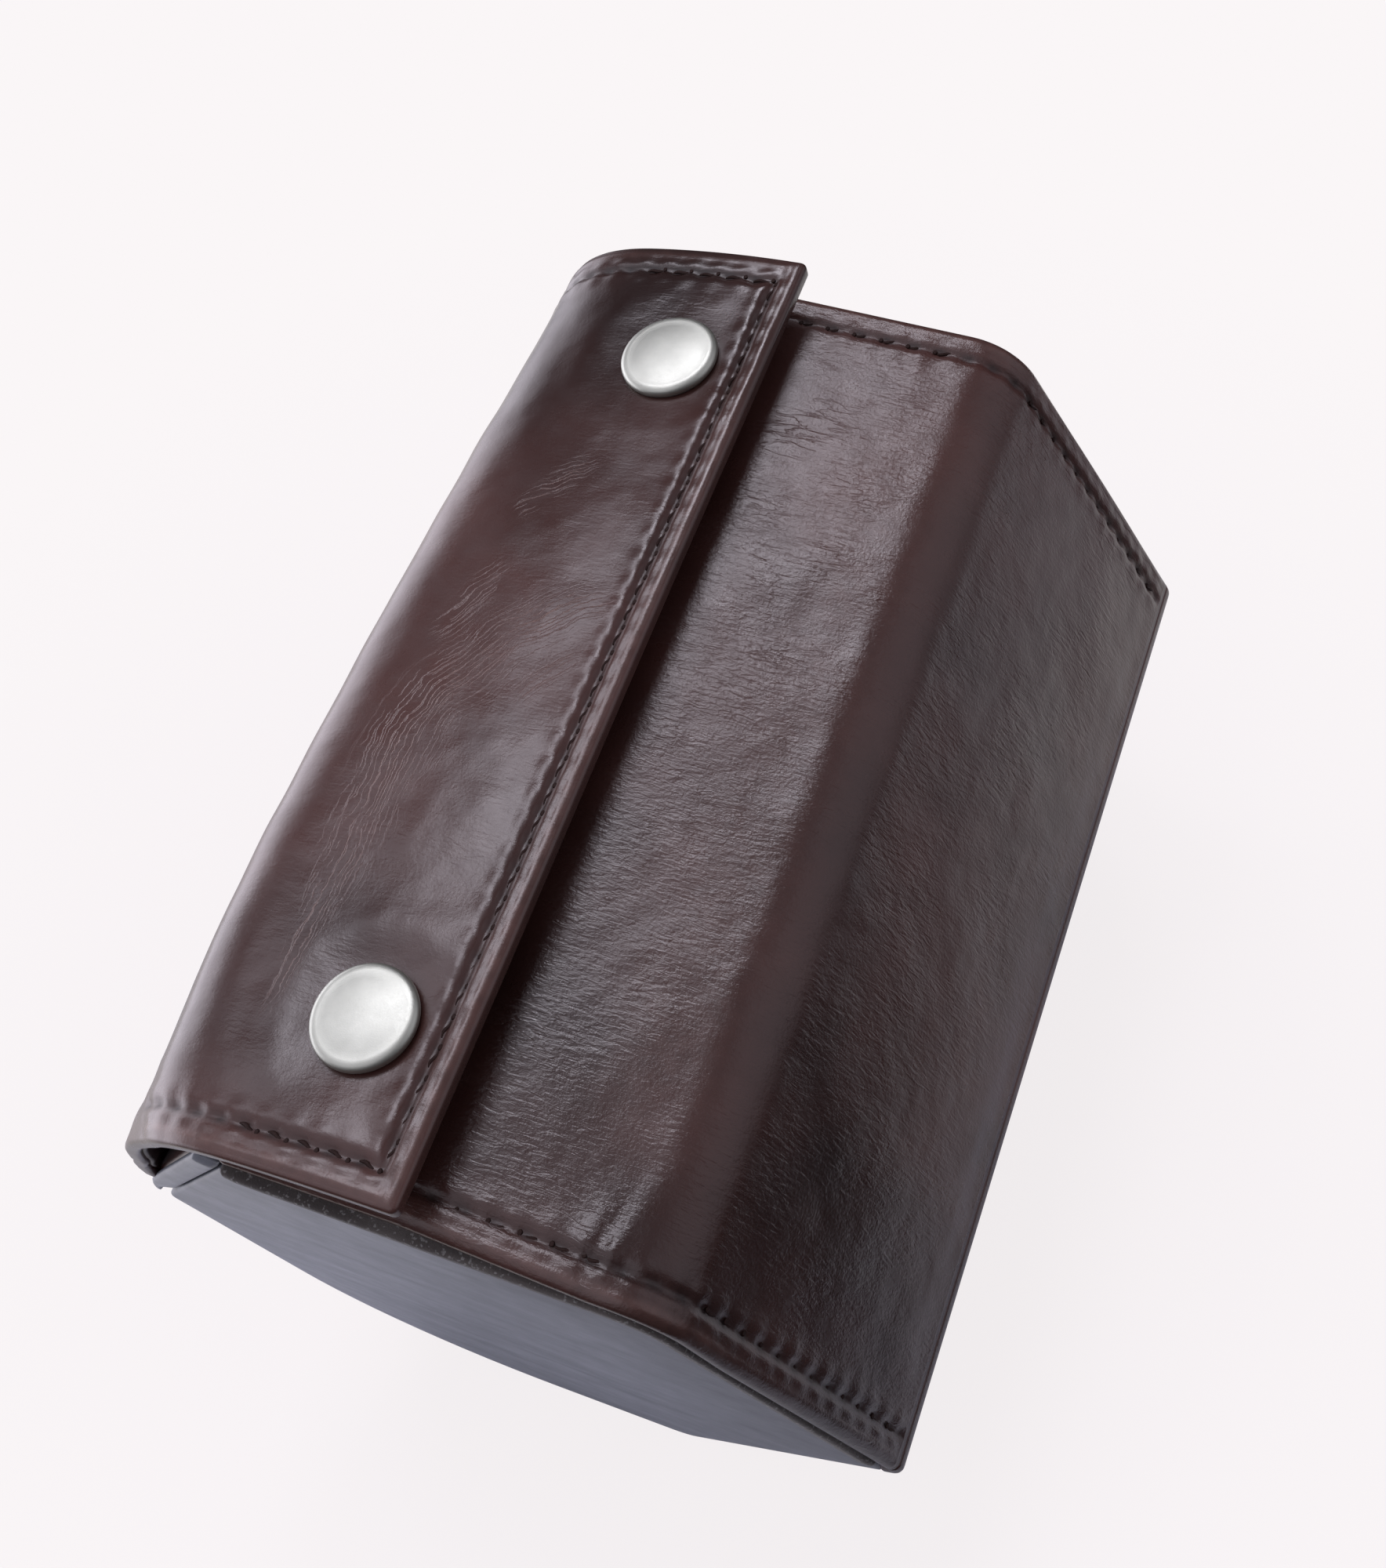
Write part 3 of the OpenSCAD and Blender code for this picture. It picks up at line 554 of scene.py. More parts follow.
flap_line = [on_side(0, FREE_L + ANCHOR_W, -LEATHER), on_side(0, FREE_L, -LEATHER)]
flap_line += [fold_drop(t) for t in np.linspace(1, 0, 15)[1:]]
flap_line += bend(FLAP_START, FOLD_CORNER, FOLD_CORNER + side_dir(0), FOLD_R, 0, 24)[::-1]
flap_line += [FLAP_START]
FLAP = Path(flap_line, inward=-1.0)
F_END = FLAP.length
F_SNAP = F_END - (SNAP_X - FLAP_X) / math.cos(math.radians(TILT))
F_FOLD = F_END - FLAP_W
F_ARC0 = F_FOLD - FOLD_R * math.radians(60 - TILT)
HALF_F, F_TIP = 66.2, FLAP.length - 0.9
MARGIN, PITCH = 4.0, 3.7


def wave_at(along, phase=0.0):
    return 0.5 + 0.5 * np.cos(2 * math.pi * (along + phase) / PITCH)


def hem(e, along, phase=0.0):
    """Height of a stitched hem: a groove at the seam, drawn in at each hole, and a ridge near the edge."""
    w = wave_at(along, phase)
    groove = -(0.30 + 0.28 * w) * np.exp(-((e - MARGIN - 0.30 * w) / 0.60) ** 2)
    inner = 0.16 * (1 - 0.8 * w) * np.exp(-((e - MARGIN - 1.7) / 0.9) ** 2)
    puff = 0.16 * (1 - w) * np.exp(-((e - MARGIN + 1.3) / 0.7) ** 2)
    ridge = 0.15 * np.exp(-((e - 1.35) / 0.5) ** 2)
    drop = -0.08 * np.exp(-((e - 0.6) / 0.35) ** 2)
    return groove + inner + puff + ridge + drop


def seam_painted_shade(e, along, phase=0.0):
    # Painted shade along the seam's groove, strongest at the stitch holes.
    w = wave_at(along, phase)
    return np.exp(-((e - MARGIN) / 0.55) ** 2) * (0.30 + 0.70 * w ** 2)


def flap_edges(S, Y):
    """Distances to the free edge and the near or far edge, and which of the two seams rules."""
    e_end, e_free = HALF_F - np.abs(Y), F_TIP - S
    e_free = e_free + 0.9 * np.clip(e_free / (MARGIN - 0.9), 0, 1)
    on_end = (e_free > MARGIN - 0.9) & (e_end < e_free)
    return e_end, e_free, on_end


def flap_hem(S, Y, fn):
    e_end, e_free, on_end = flap_edges(S, Y)
    fade = smooth01((S - F_ARC0 + 6) / 6)
    return np.where(on_end, fn(e_end, S) * fade, fn(e_free, Y))


def bow(Y):
    """How far the fold bellies out, along the case."""
    return np.interp(Y, [-66.2, -64.2, -62.4, -57, -47, -37, -26, -15, -3, 9, 22, 36.5, 52, 66.2],
                     [0.0, 0.55, 1.2, 2.2, 2.9, 3.3, 3.4, 3.25, 3.05, 2.8, 2.3, 1.5, 0.55, 0.0])


def fold_disp(S, Y):
    """The belly of the fold, and the near end of the strap that stands off the wall down to its edge."""
    loop = np.interp(S, [0, 1.2, 3.0, 5.5, 10, 14, 20, 23.5, 27, 33, 43],
                     [0, 0.4, 1.4, 2.3, 2.8, 2.6, 1.7, 0.8, 0, -0.4, 0])
    return bow(Y) * np.exp(-((S - F_ARC0) / 8.5) ** 2) + loop * smooth01((-Y - 55) / 9)


def crown(S):
    """The flap is crowned across its width: highest in the middle, lower at its free edge and at the fold."""
    u = F_END - S
    h = -0.0041 * (u - 13) ** 2
    t = np.clip((u - 23) / 15.0, 0, 1)
    # From the flap's flat part the crown runs out over the fold.
    h0, m0 = -0.0041 * 100, -0.0082 * 10 * 15
    out = h0 * (2 * t ** 3 - 3 * t ** 2 + 1) + m0 * (t ** 3 - 2 * t ** 2 + t)
    return np.where(u > 23, out, h)


def flap_disp(S, Y):
    d = flap_hem(S, Y, hem)
    for side in (-1, 1):
        r = np.hypot(S - F_SNAP, Y - side * SNAP_Y)
        d -= 0.60 * np.exp(-(r / 8.0) ** 2)
        d += 0.15 * np.exp(-((r - 12) / 3.0) ** 2)
    inside = np.minimum(HALF_F - np.abs(Y), F_END - S)
    loose = smooth01((S - ANCHOR_W - 3) / 12) * smooth01((inside - 4.5) / 5)
    d += loose * (0.30 * noise2(S, Y, 3, 17) + 0.10 * noise2(S, Y, 4, 7))
    return d


def flap_shift(S, Y):
    """Where both faces of the flap lie off its plain line."""
    # The snaps hold the flap down, and between them it stands up a little.
    up = 0.40 * (0.5 + 0.5 * np.cos(math.pi * np.clip((Y - 8) / 50, -1, 1))) * smooth01((S - F_ARC0) / 20)
    return crown(S) + fold_disp(S, Y) + up


CREASE = np.array([(5.5, 11), (7.0, 9.6), (10.2, 8.4), (13.5, 6.1), (17.3, 2.4), (20.6, -2.3), (23.4, -5.7),
                   (25.0, -10.5), (25.3, -19.9), (25.2, -30.6), (25.6, -43.8), (25.8, -52)])


def crease_distance(S, Y, line):
    """Signed distance in mm to a line on the flap, measured from its free edge, and the place along it."""
    P = np.stack([F_END - S, Y], -1)
    best, sign, along = np.full(S.shape, 1e9), np.ones(S.shape), np.zeros(S.shape)
    done = 0.0
    for a, b in zip(line[:-1], line[1:]):
        ab = b - a
        ln = np.linalg.norm(ab)
        t = np.clip(((P - a) @ ab) / ln ** 2, 0, 1)
        q = P - a - t[..., None] * ab
        d = np.hypot(q[..., 0], q[..., 1])
        near = d < best
        best = np.where(near, d, best)
        sign = np.where(near, np.sign(ab[0] * q[..., 1] - ab[1] * q[..., 0]), sign)
        along = np.where(near, done + t * ln, along)
        done += ln
    return best * sign, along / done


def crease_value(S, Y):
    return crease_distance(S, Y, CREASE)[0]


def crease_mask(S, Y):
    d, t = crease_distance(S, Y, CREASE)
    width = 1.2 + 2.6 * np.sin(math.pi * np.clip(t * 1.25, 0, 1)) ** 0.7
    m = np.exp(-(d / width) ** 2) * smooth01(t * 14) * smooth01((1 - t) * 7)
    for a, b, w in (((23.5, 10.5), (26.4, 3.0), 1.7), ((18.5, 28.5), (23.0, 22.0), 1.5),
                    ((9, 1), (12, -4), 1.2)):
        d2 = crease_distance(S, Y, np.array([a, b]))[0]
        m = np.maximum(m, 0.75 * np.exp(-(d2 / w) ** 2))
    return m


def flap_wear_and_painted_light(S, Y):
    e_end, e_free, on_end = flap_edges(S, Y)
    e = np.minimum(np.where(S > F_ARC0, e_end, 9), e_free)
    # Edge wear within 3.4 mm of the edge, and a painted highlight along the hem's ridge 1.5 mm from it.
    rim = np.exp(-((e - 1.5) / 0.6) ** 2) * 0.75 + 0.25 * (e < 3.4)
    return rim * smooth01((S - F_ARC0 + 8) / 8) * (1 - 0.6 * smooth01((Y - 30) / 25))


def flap_tone_and_painted_shade(S, Y):
    # Random dye patches, plus painted shade: a dark band on the flap beside the fold and a darker far end.
    patch = 0.35 * noise2(S, Y, 21, 22) + 0.2 * noise2(S, Y, 22, 9)
    band = 0.30 * np.exp(-((S - F_FOLD - 2) / 9) ** 2) + 0.45 * smooth01((Y - 22) / 20)
    return np.clip(band + 0.10 + patch * smooth01((S - ANCHOR_W) / 8), 0, 0.9)


flap = sheet("flap_outer", FLAP, 0.0, F_TIP, -HALF_F, HALF_F, 2.1, M_FLAP, step=0.8, rim=0.62,
             disp=flap_disp, shift=flap_shift, corner=0.9, band=6.2,
             marks={"crease": crease_value, "creased": crease_mask, "wear_and_painted_light": flap_wear_and_painted_light, "tone_and_painted_shade": flap_tone_and_painted_shade,
                    "seam": lambda S, Y: flap_hem(S, Y, seam_painted_shade)})
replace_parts(flap, "flap_anchor", "fold_leather", "flap_leather")
flap_under = sheet("flap_inner", FLAP, F_ARC0 - 24.0, F_TIP - 0.7, -HALF_F + 0.7, HALF_F - 0.7, 0.75, M_UNDER,
                   step=1.3, base=1.9, corner=1.2, shift=flap_shift)
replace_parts(flap_under, "fold_lining", "flap_lining")


def place(x, z, y):
    a, b = world(x, z)
    return (a, y / 1000.0, b)


for ob in (flap, flap_under):
    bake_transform(ob)

# ---- Lid ----
# One line from the lower front wall over the front corner and the ridge to the lid's free edge.
HINGE_S, LID_TOP, RIDGE_TURN = 3.2, 53.2, 61
lid_line = [on_side(3, side_len(3) - HINGE_S)] + corner_arc(4) + corner_arc(5) + [vec(-LID_TOP, 0)]
LID = Path(lid_line, inward=1.0)
L_CUT = HINGE_S + 1.9
L_RIDGE1 = LID.length - (LID_TOP - RADII[5] * math.tan(math.radians(RIDGE_TURN / 2)))
L_RIDGE0 = L_RIDGE1 - RADII[5] * math.radians(RIDGE_TURN)


def lid_hem(S, Y, fn):
    e_end = HALF_L - np.abs(Y)
    return fn(e_end, S, 1.2) * smooth01((S - L_CUT - 0.5) / 2)


def lid_disp(S, Y):
    e_end = HALF_L - np.abs(Y)
    d = lid_hem(S, Y, hem)
    top = smooth01((S - L_RIDGE1 + 4) / 8)
    u = (S - L_RIDGE1) / (LID.length - L_RIDGE1)
    d += top * 0.45 * np.sin(math.pi * np.clip(u, 0, 1)) * np.cos(Y / HALF_L * 1.3)
    front = smooth01((L_RIDGE0 + 4 - S) / 8) * smooth01((S - L_CUT) / 6)
    f = np.clip((S - L_CUT) / (L_RIDGE0 - L_CUT), 0, 1)
    d += front * 0.8 * np.sin(math.pi * f) * np.cos(Y / HALF_L * 1.2)
    soft = smooth01((e_end - 4.5) / 5) * smooth01((S - L_CUT - 1) / 5)
    d += soft * (0.17 * noise2(S, Y, 11, 16) + 0.05 * noise2(S, Y, 12, 7))
    # Small tucks that the seam pulls up beside the ridge.
    for c, sg, a in ((L_RIDGE1 + 1.4, -1, 0.50), (L_RIDGE1 + 4.4, -1, 0.42), (L_RIDGE1 + 6, 1, 0.2)):
        reach = HALF_L - MARGIN - sg * Y
        fade = np.exp(-np.abs(reach - 1.6) / 3.2) * (reach > -2)
        d += a * np.exp(-((S - c + 0.18 * reach) / 0.85) ** 2) * fade
    return d


def lid_slide(S, Y):
    """The near edge of the top bows a little: short of the end at the free edge, proud of it at the ridge."""
    x = np.interp(S, [0, L_CUT, L_RIDGE0 - 8, L_RIDGE0, L_RIDGE1 + 2, LID.length - 22, LID.length],
                  [0, 0, -0.35, -0.2, -0.2, 0.7, 0.5])
    return x * smooth01((-Y - 54) / 11)


def lid_wear_and_painted_light(S, Y):
    e_end = HALF_L - np.abs(Y)
    # A painted highlight along the hem's ridge near each end, and edge wear within 3.3 mm of the end.
    rim = 0.55 * np.exp(-((e_end - 1.4) / 0.6) ** 2) + 0.2 * (e_end < 3.3)
    # A band of painted light on the top just past the ridge's rounding.
    ridge = 0.34 * np.exp(-((S - L_RIDGE1 - 3.5) / 7.5) ** 2) * smooth01((60 - np.abs(Y)) / 20)
    front = smooth01((L_RIDGE0 - 3 - S) / 8)
    return np.maximum(rim, ridge) * (1 - 0.85 * front)


def lid_wrinkled(S, Y):
    """Wrinkles lie on the flat top, and a few more in a patch on the front slope."""
    top = smooth01((S - L_RIDGE1 + 2) / 8)
    patch = 0.8 * np.exp(-((S - L_RIDGE0 + 7) / 7) ** 2 - ((Y + 14) / 14) ** 2)
    return np.maximum(top, patch)


def lid_tone_and_painted_shade(S, Y):
    """Painted shade darkens the near half of the front slope; the top is also a little darker in its middle,
    with random dye patches.
    """
    front = smooth01((L_RIDGE0 + 6 - S) / 14)
    patch = 0.30 * noise2(S, Y, 23, 20) + 0.2 * noise2(S, Y, 24, 8)
    return np.clip(front * (0.75 * smooth01((-Y - 8) / 50) + 0.12)
                   + (1 - front) * (0.15 + 0.55 * np.exp(-((Y + 22) / 32) ** 2)) + patch, 0, 0.9)


lid_marks = {"wrinkled": lid_wrinkled, "wear_and_painted_light": lid_wear_and_painted_light, "tone_and_painted_shade": lid_tone_and_painted_shade,
             "seam": lambda S, Y: lid_hem(S, Y, seam_painted_shade)}
lid = sheet("lid_outer", LID, L_CUT, LID.length, -HALF_L, HALF_L, 2.2, M_LID, step=0.8, disp=lid_disp,
            corner=1.6, band=6.2, plain=(True, False), slide=lid_slide, marks=lid_marks)
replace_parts(lid, "lid_front_leather", "ridge_leather", "lid_top_leather")
lid_under = sheet("lid_inner", LID, L_CUT + 1.0, LID.length - 0.5, -HALF_L - 0.6, HALF_L + 0.1, 1.7,
                  M_LID_LINING, step=1.6, rim=0.5, base=2.3, corner=1.2)
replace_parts(lid_under, "lid_front_lining", "ridge_lining", "lid_top_lining")
for ob in (lid, lid_under):
    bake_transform(ob)
hinge = sheet("front_hinge", LID, 0.0, L_CUT, -HALF_L, HALF_L, 2.2, M_LID, step=0.5, disp=lid_disp,
              corner=0.0, band=6.2, plain=(True, True), slide=lid_slide, marks=lid_marks)
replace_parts(hinge, "front_hinge_leather")
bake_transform(hinge)

# ---- Tray leather ----
tray_line = [on_side(0, 1.5 / math.sin(math.radians(60)))] + corner_arc(1) + corner_arc(2) + corner_arc(3)
tray_line += [on_side(3, side_len(3) - HINGE_S)]
TRAY = Path(tray_line, inward=1.0)
tray = sheet("tray_outer", TRAY, 0.0, TRAY.length, -65.2, 65.2, LEATHER, M_BASE, step=1.4, corner=0.0,
             plain=(False, True),
             disp=lambda S, Y: 0.06 * noise2(S, Y, 21, 14) * smooth01((TRAY.length - S) / 30) * (S < 50))
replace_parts(tray, "base_leather")
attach(tray, "tray")


# ---- Ends ----
def plate(ds, rs, steps=12):
    ps = []
    for i in range(6):
        before = on_side((i + 5) % 6, 0, ds[(i + 5) % 6])
        ps.append(meet(before, side_dir(i + 5), on_side(i % 6, 0, ds[i]), side_dir(i)))
    out = []
    for i in range(6):
        out += bend(ps[i - 1], ps[i], ps[(i + 1) % 6], rs[i], 0, steps)
    return np.array(out)


def end_facing(name, sign):
    """Leather facing of one end: a flat sheet with a rounded rim that fills out slightly."""
    ds = [3.45, 0.2, 0.2, 0.2, WALL + 0.4, WALL + 0.4]
    rs = [0.8, 2.5, 37.3, 5.8, 0.8, 6.1]
    rim, t = 0.5, 1.2
    rings = []
    for e in (0.0, 0.02, 0.08, 0.18, 0.3, 0.5, 0.8, 1.5, 3, 5, 8, 12, 17, 23):
        q = max(1 - e / rim, 0)
        cut = rim * (1 - math.sqrt(1 - q * q))
        fill = 0.25 * (1 - math.exp(-e / 5.0))
        pts = plate([d + e for d in ds], [max(r - e, 0.25) for r in rs])
        rings.append((pts, END_OUT - cut + fill))
    verts, flat, edge = [], [], []
    n = len(rings[0][0])
    back = [(rings[0][0], END_OUT - t)]
    for pts, y in back + rings:
        for p in pts:
            verts.append(place(p[0], p[1], sign * y))
            flat.append((p[0], p[1], 0.0))
    c = rings[-1][0].mean(0)
    verts += [place(c[0], c[1], sign * rings[-1][1]), place(c[0], c[1], sign * (END_OUT - t))]
    flat += [(c[0], c[1], 0.0)] * 2
    faces = []
    for k in range(len(rings)):
        for j in range(n):
            a, b = k * n + j, k * n + (j + 1) % n
            faces.append((a, b, b + n, a + n))
    m = len(verts)
    faces += [(len(rings) * n + j, len(rings) * n + (j + 1) % n, m - 2) for j in range(n)]
    faces += [(j, (j + 1) % n, m - 1) for j in range(n)]
    # Its grey-blue colour is a painted reflection.
    ob = new_object(name, verts, faces, M_END_PAINTED_REFLECTION)
    put(ob.data, "flat", "FLOAT_VECTOR", flat)
    # Painted shade: the colour is darker towards the front.
    across = [f[0] + 0.35 * f[1] for f in flat]
    tone_and_painted_shade = np.interp(across, [-74, -58, -37, -21, -6, 5], [0.0, 0.2, 0.08, 0.16, 0.68, 0.75])
    put(ob.data, "tone_and_painted_shade", "FLOAT", tone_and_painted_shade)
    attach(ob, "tray")
    return ob


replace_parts(end_facing("end_facing_near", -1), "end_leather_near")
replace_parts(end_facing("end_facing_far", 1), "end_leather_far")


def wall_end(name, sign):
    """The leather turned over the end of the upper back wall, beside the end facing."""
    outer = [on_side(0, 1.75, 0)] + corner_arc(1)[:10]
    path = Path(outer, inward=1.0)
    ss = np.r_[0, 0.1, 0.35, 0.8, np.linspace(1.6, path.length - 1, 30), path.length - 0.4, path.length]
    prof = [(0.35, 0.0), (0.1, 0.25), (0.0, 0.6), (0.0, 1.0), (0.35, 1.28), (0.8, 1.36), (1.6, 1.38),
            (2.4, 1.36), (2.9, 1.2), (3.15, 0.9), (3.15, 0.0)]
    verts, flat = [], []
    for s in ss:
        taper = 1 - 0.75 * smooth01((s - path.length * 0.82) / (path.length * 0.18))
        near = 1 - smooth01((0.8 - s) / 0.8) * 0.5
        for d, y in prof:
            x, z = path.at(s, d * taper)
            verts.append(place(float(x), float(z), sign * (65.1 + y * near)))
            flat.append((s, d + y, 0.0))
    n = len(prof)
    faces = []
    for i in range(len(ss) - 1):
        for j in range(n):
            a, b = i * n + j, i * n + (j + 1) % n
            faces.append((a, b, b + n, a + n))
    faces += [tuple(range(n)), tuple(range((len(ss) - 1) * n, len(ss) * n))]
    # The pale grey colour here is the same painted reflection.
    ob = new_object(name, verts, faces, M_END_PAINTED_REFLECTION)
    put(ob.data, "flat", "FLOAT_VECTOR", flat)
    put(ob.data, "tone_and_painted_shade", "FLOAT", [0.0] * len(verts))
    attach(ob, "tray")


wall_end("back_wall_end_near", -1)
wall_end("back_wall_end_far", 1)


# ---- Snap caps ----
def cap(name, side, node):
    prof = [(5.9, 0.0), (6.2, 0.08), (6.38, 0.3), (6.44, 0.6), (6.40, 0.92), (6.24, 1.2), (5.95, 1.42),
            (5.6, 1.53), (5.3, 1.55), (5.0, 1.56), (4.4, 1.64), (3.6, 1.74), (2.6, 1.83), (1.5, 1.89),
            (0.6, 1.91)]
    m = 72
    c = flap_point((SNAP_X - FLAP_X) / math.cos(math.radians(TILT)), 0.35)
    verts, faces = [], []
    for r, h in prof:
        for j in range(m):
            a = 2 * math.pi * j / m
            rr = r * (1 + 0.004 * math.sin(3 * a + side))
            u, v = rr * math.cos(a), rr * math.sin(a)
            p = c + FLAP_DIR * u + FLAP_N * h
            verts.append(place(p[0], p[1], side * SNAP_Y + v))
    p = c + FLAP_N * 1.915
    verts.append(place(p[0], p[1], side * SNAP_Y))
    verts.append(place(c[0], c[1], side * SNAP_Y))
    k = len(prof)
    for i in range(k - 1):
        for j in range(m):
            a, b = i * m + j, i * m + (j + 1) % m
            faces.append((a, b, b + m, a + m))
    faces += [((k - 1) * m + j, (k - 1) * m + (j + 1) % m, k * m) for j in range(m)]
    faces += [(j, (j + 1) % m, k * m + 1) for j in range(m)]
    ob = new_object(name, verts, faces, M_CAP)
    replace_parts(ob, node)
    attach(ob, "flap")


cap("cap_near", -1, "snap_cap_near")
cap("cap_far", 1, "snap_cap_far")


# ---- Stitches ----
def stitches(name, runs, body, nodes):
    """Each run: a path, a list of (s0, y0, s1, y1) stitches, their height and the leather's own shift."""
    verts, faces = [], []
    rings, sides = 9, 8
    for path, items, base, shift in runs:
        for s0, y0, s1, y1 in items:
            ln = math.hypot(s1 - s0, y1 - y0)
            ds, dy = (s1 - s0) / ln, (y1 - y0) / ln
            start = len(verts)
            for i in range(rings):
                t = i / (rings - 1)
                lift = 0.10 * math.sin(math.pi * t) - 0.40 + base
                r = 0.25 * (0.45 + 0.55 * math.sin(math.pi * t) ** 0.5)
                bend_ = 0.16 * math.sin(2 * math.pi * t)
                cs, cy = s0 + ds * ln * t - dy * bend_, y0 + dy * ln * t + ds * bend_
                lift += float(shift(cs, cy))
                for j in range(sides):
                    a = 2 * math.pi * j / sides
                    o, h = r * math.cos(a), r * 0.8 * math.sin(a)
                    x, z = path.at(cs - dy * o, -(lift + h))
                    verts.append(place(float(x), float(z), cy + ds * o))
            for i in range(rings - 1):
                for j in range(sides):
                    a, b = start + i * sides + j, start + i * sides + (j + 1) % sides
                    faces.append((a, b, b + sides, a + sides))
            faces.append(tuple(start + j for j in range(sides)))
            faces.append(tuple(start + (rings - 1) * sides + j for j in range(sides)))
            # The hole at the stitch's end, a dark hollow in the leather.
            start = len(verts)
            m, off = 10, base + float(shift(s1, y1))
            for q, (rr, h) in enumerate(((0.40, -0.12), (0.30, 0.02), (0.12, 0.0))):
                for j in range(m):
                    a = 2 * math.pi * j / m
                    x, z = path.at(s1 + rr * 0.8 * math.cos(a), -(h - 0.06 + off))
                    verts.append(place(float(x), float(z), y1 + rr * math.sin(a)))
            for q in range(2):
                for j in range(m):
                    a, b = start + q * m + j, start + q * m + (j + 1) % m
                    faces.append((a, b, b + m, a + m))
            faces.append(tuple(start + 2 * m + j for j in range(m)))
            faces.append(tuple(start + j for j in range(m)))
    ob = new_object(name, verts, faces, M_THREAD)
    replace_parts(ob, *nodes)
    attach(ob, body)
    return ob


def row(a, b, fixed, along_y, slant=0.22):
    n = max(int(round((b - a) / PITCH)), 1)
    out = []
    for i in range(n):
        p, q = a + (i + 0.20) * (b - a) / n, a + (i + 0.90) * (b - a) / n
        out.append((fixed - slant, p, fixed + slant, q) if along_y else (p, fixed - slant, q, fixed + slant))
    return out


in_f, in_y = F_END - MARGIN, HALF_F - MARGIN
flap_rows = row(-in_y, in_y, in_f, True)
flap_rows += row(F_FOLD - 0.5, in_f, -in_y, False, -0.22) + row(F_FOLD - 0.5, in_f, in_y, False)
stitches("flap_stitches", [(FLAP, flap_rows, -0.08, flap_shift)], "flap", ["flap_stitching"])
anchor_rows = row(-52.0, in_y, ANCHOR_W / 2, True)
stitches("anchor_stitches", [(FLAP, anchor_rows, 0.0, fold_disp)], "tray", ["anchor_stitching"])
ly = HALF_L - MARGIN
top_rows, front_rows = [], []
for sg in (-1, 1):
    top_rows += row(L_RIDGE1 + 0.5, LID.length - 2.0, sg * ly, False, -0.16 * sg)
    front_rows += row(L_CUT + 1.5, L_RIDGE0 - 0.5, sg * ly, False, -0.16 * sg)
for part, rows in (("lid_top", top_rows), ("lid_front", front_rows)):
    stitches(part + "_stitches", [(LID, rows, -0.08, lambda s, y: 0.0)], part, [part + "_stitching"])


# ---- Cushions ----
def cushion(name, node, seed):
    lo, hi = (np.array(v) * 1000 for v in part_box(node))
    c, h = (lo + hi) / 2, (hi - lo) / 2 * np.array([0.955, 0.955, 0.955])
    bm = bmesh.new()
    bmesh.ops.create_cube(bm, size=2.0)
    bmesh.ops.subdivide_edges(bm, edges=bm.edges[:], cuts=11, use_grid_fill=True)
    for v in bm.verts:
        x, y, z = v.co
        k = 1 - 0.16 * abs(y) ** 4
        r = math.hypot(x, z)
        if r > 1e-6:
            m = max(abs(x), abs(z))
            f = (m / r) ** 0.78
            x, z = x * f, z * f
        x, z = x * k, z * k
        y = y * (1 - 0.10 * (x * x + z * z))
        v.co = Vector(((c[0] + x * h[0]) / 1000, (c[1] + y * h[1]) / 1000, (c[2] + z * h[2]) / 1000))
    me = bpy.data.meshes.new(name)
    bm.to_mesh(me)
    bm.free()
    ob = bpy.data.objects.new(name, me)
    bpy.context.scene.collection.objects.link(ob)
    me.shade_smooth()
    bpy.context.view_layer.objects.active = ob
    rm = ob.modifiers.new("remesh", "REMESH")
    rm.mode, rm.voxel_size = "VOXEL", 0.004
    dg = bpy.context.evaluated_depsgraph_get()
    ob.data = bpy.data.meshes.new_from_object(ob.evaluated_get(dg))
    ob.modifiers.clear()
    rest = np.array([v.co[:] for v in ob.data.vertices])
    cl = ob.modifiers.new("cloth", "CLOTH")
    cl.settings.use_pressure = True
    cl.settings.uniform_pressure_force = 4.0
    cl.settings.effector_weights.gravity = 0.0
    cl.settings.quality = 5
    scene = bpy.context.scene
    for f in range(1, 21):
        scene.frame_set(f)
    dg = bpy.context.evaluated_depsgraph_get()
    got = np.array([v.co[:] for v in ob.evaluated_get(dg).data.vertices])
    ob.modifiers.clear()
    scene.frame_set(1)
    move = got - rest
    far = np.linalg.norm(move, axis=1)[:, None]
    cap_m = 0.0012
    move = move * np.minimum(1, cap_m / np.maximum(far, 1e-9))
    for v, p in zip(ob.data.vertices, rest + move):
        v.co = Vector(p)
    sub = ob.modifiers.new("sub", "SUBSURF")
    sub.levels = 1
    dg = bpy.context.evaluated_depsgraph_get()
    ob.data = bpy.data.meshes.new_from_object(ob.evaluated_get(dg))
    ob.modifiers.clear()
    # Seams where the end pieces meet the long one, small puckers beside them, and a flat underside.
    co = np.array([v.co[:] for v in ob.data.vertices]) * 1000
    d = (co - c) / h
    seam = np.abs(np.abs(d[:, 1]) - 0.86)
    pucker = 1 + 0.5 * np.sin(np.arctan2(d[:, 2], d[:, 0]) * 34 + seed)
    inward = 0.9 * np.exp(-(seam / 0.035) ** 2) + 0.25 * np.exp(-((seam - 0.07) / 0.05) ** 2) * pucker
    r = np.hypot(co[:, 0] - c[0], co[:, 2] - c[2])[:, None]
    radial = np.stack([co[:, 0] - c[0], np.zeros(len(co)), co[:, 2] - c[2]], 1) / np.maximum(r, 1e-6)
    co -= radial * inward[:, None] * smooth01(r / 8)
    co += radial * (0.25 * noise2(co[:, 0] * 1.1, co[:, 1] + co[:, 2], seed, 9))[:, None]
    lo2, hi2 = lo + 0.1, hi - 0.1
    co = np.minimum(np.maximum(co, lo2), hi2)
    for v, p in zip(ob.data.vertices, co / 1000):
        v.co = Vector(p)
    ob.data.shade_smooth()
    ob.data.materials.clear()
    ob.data.materials.append(M_CUSHION)
    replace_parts(ob, node)
    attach(ob, "tray")


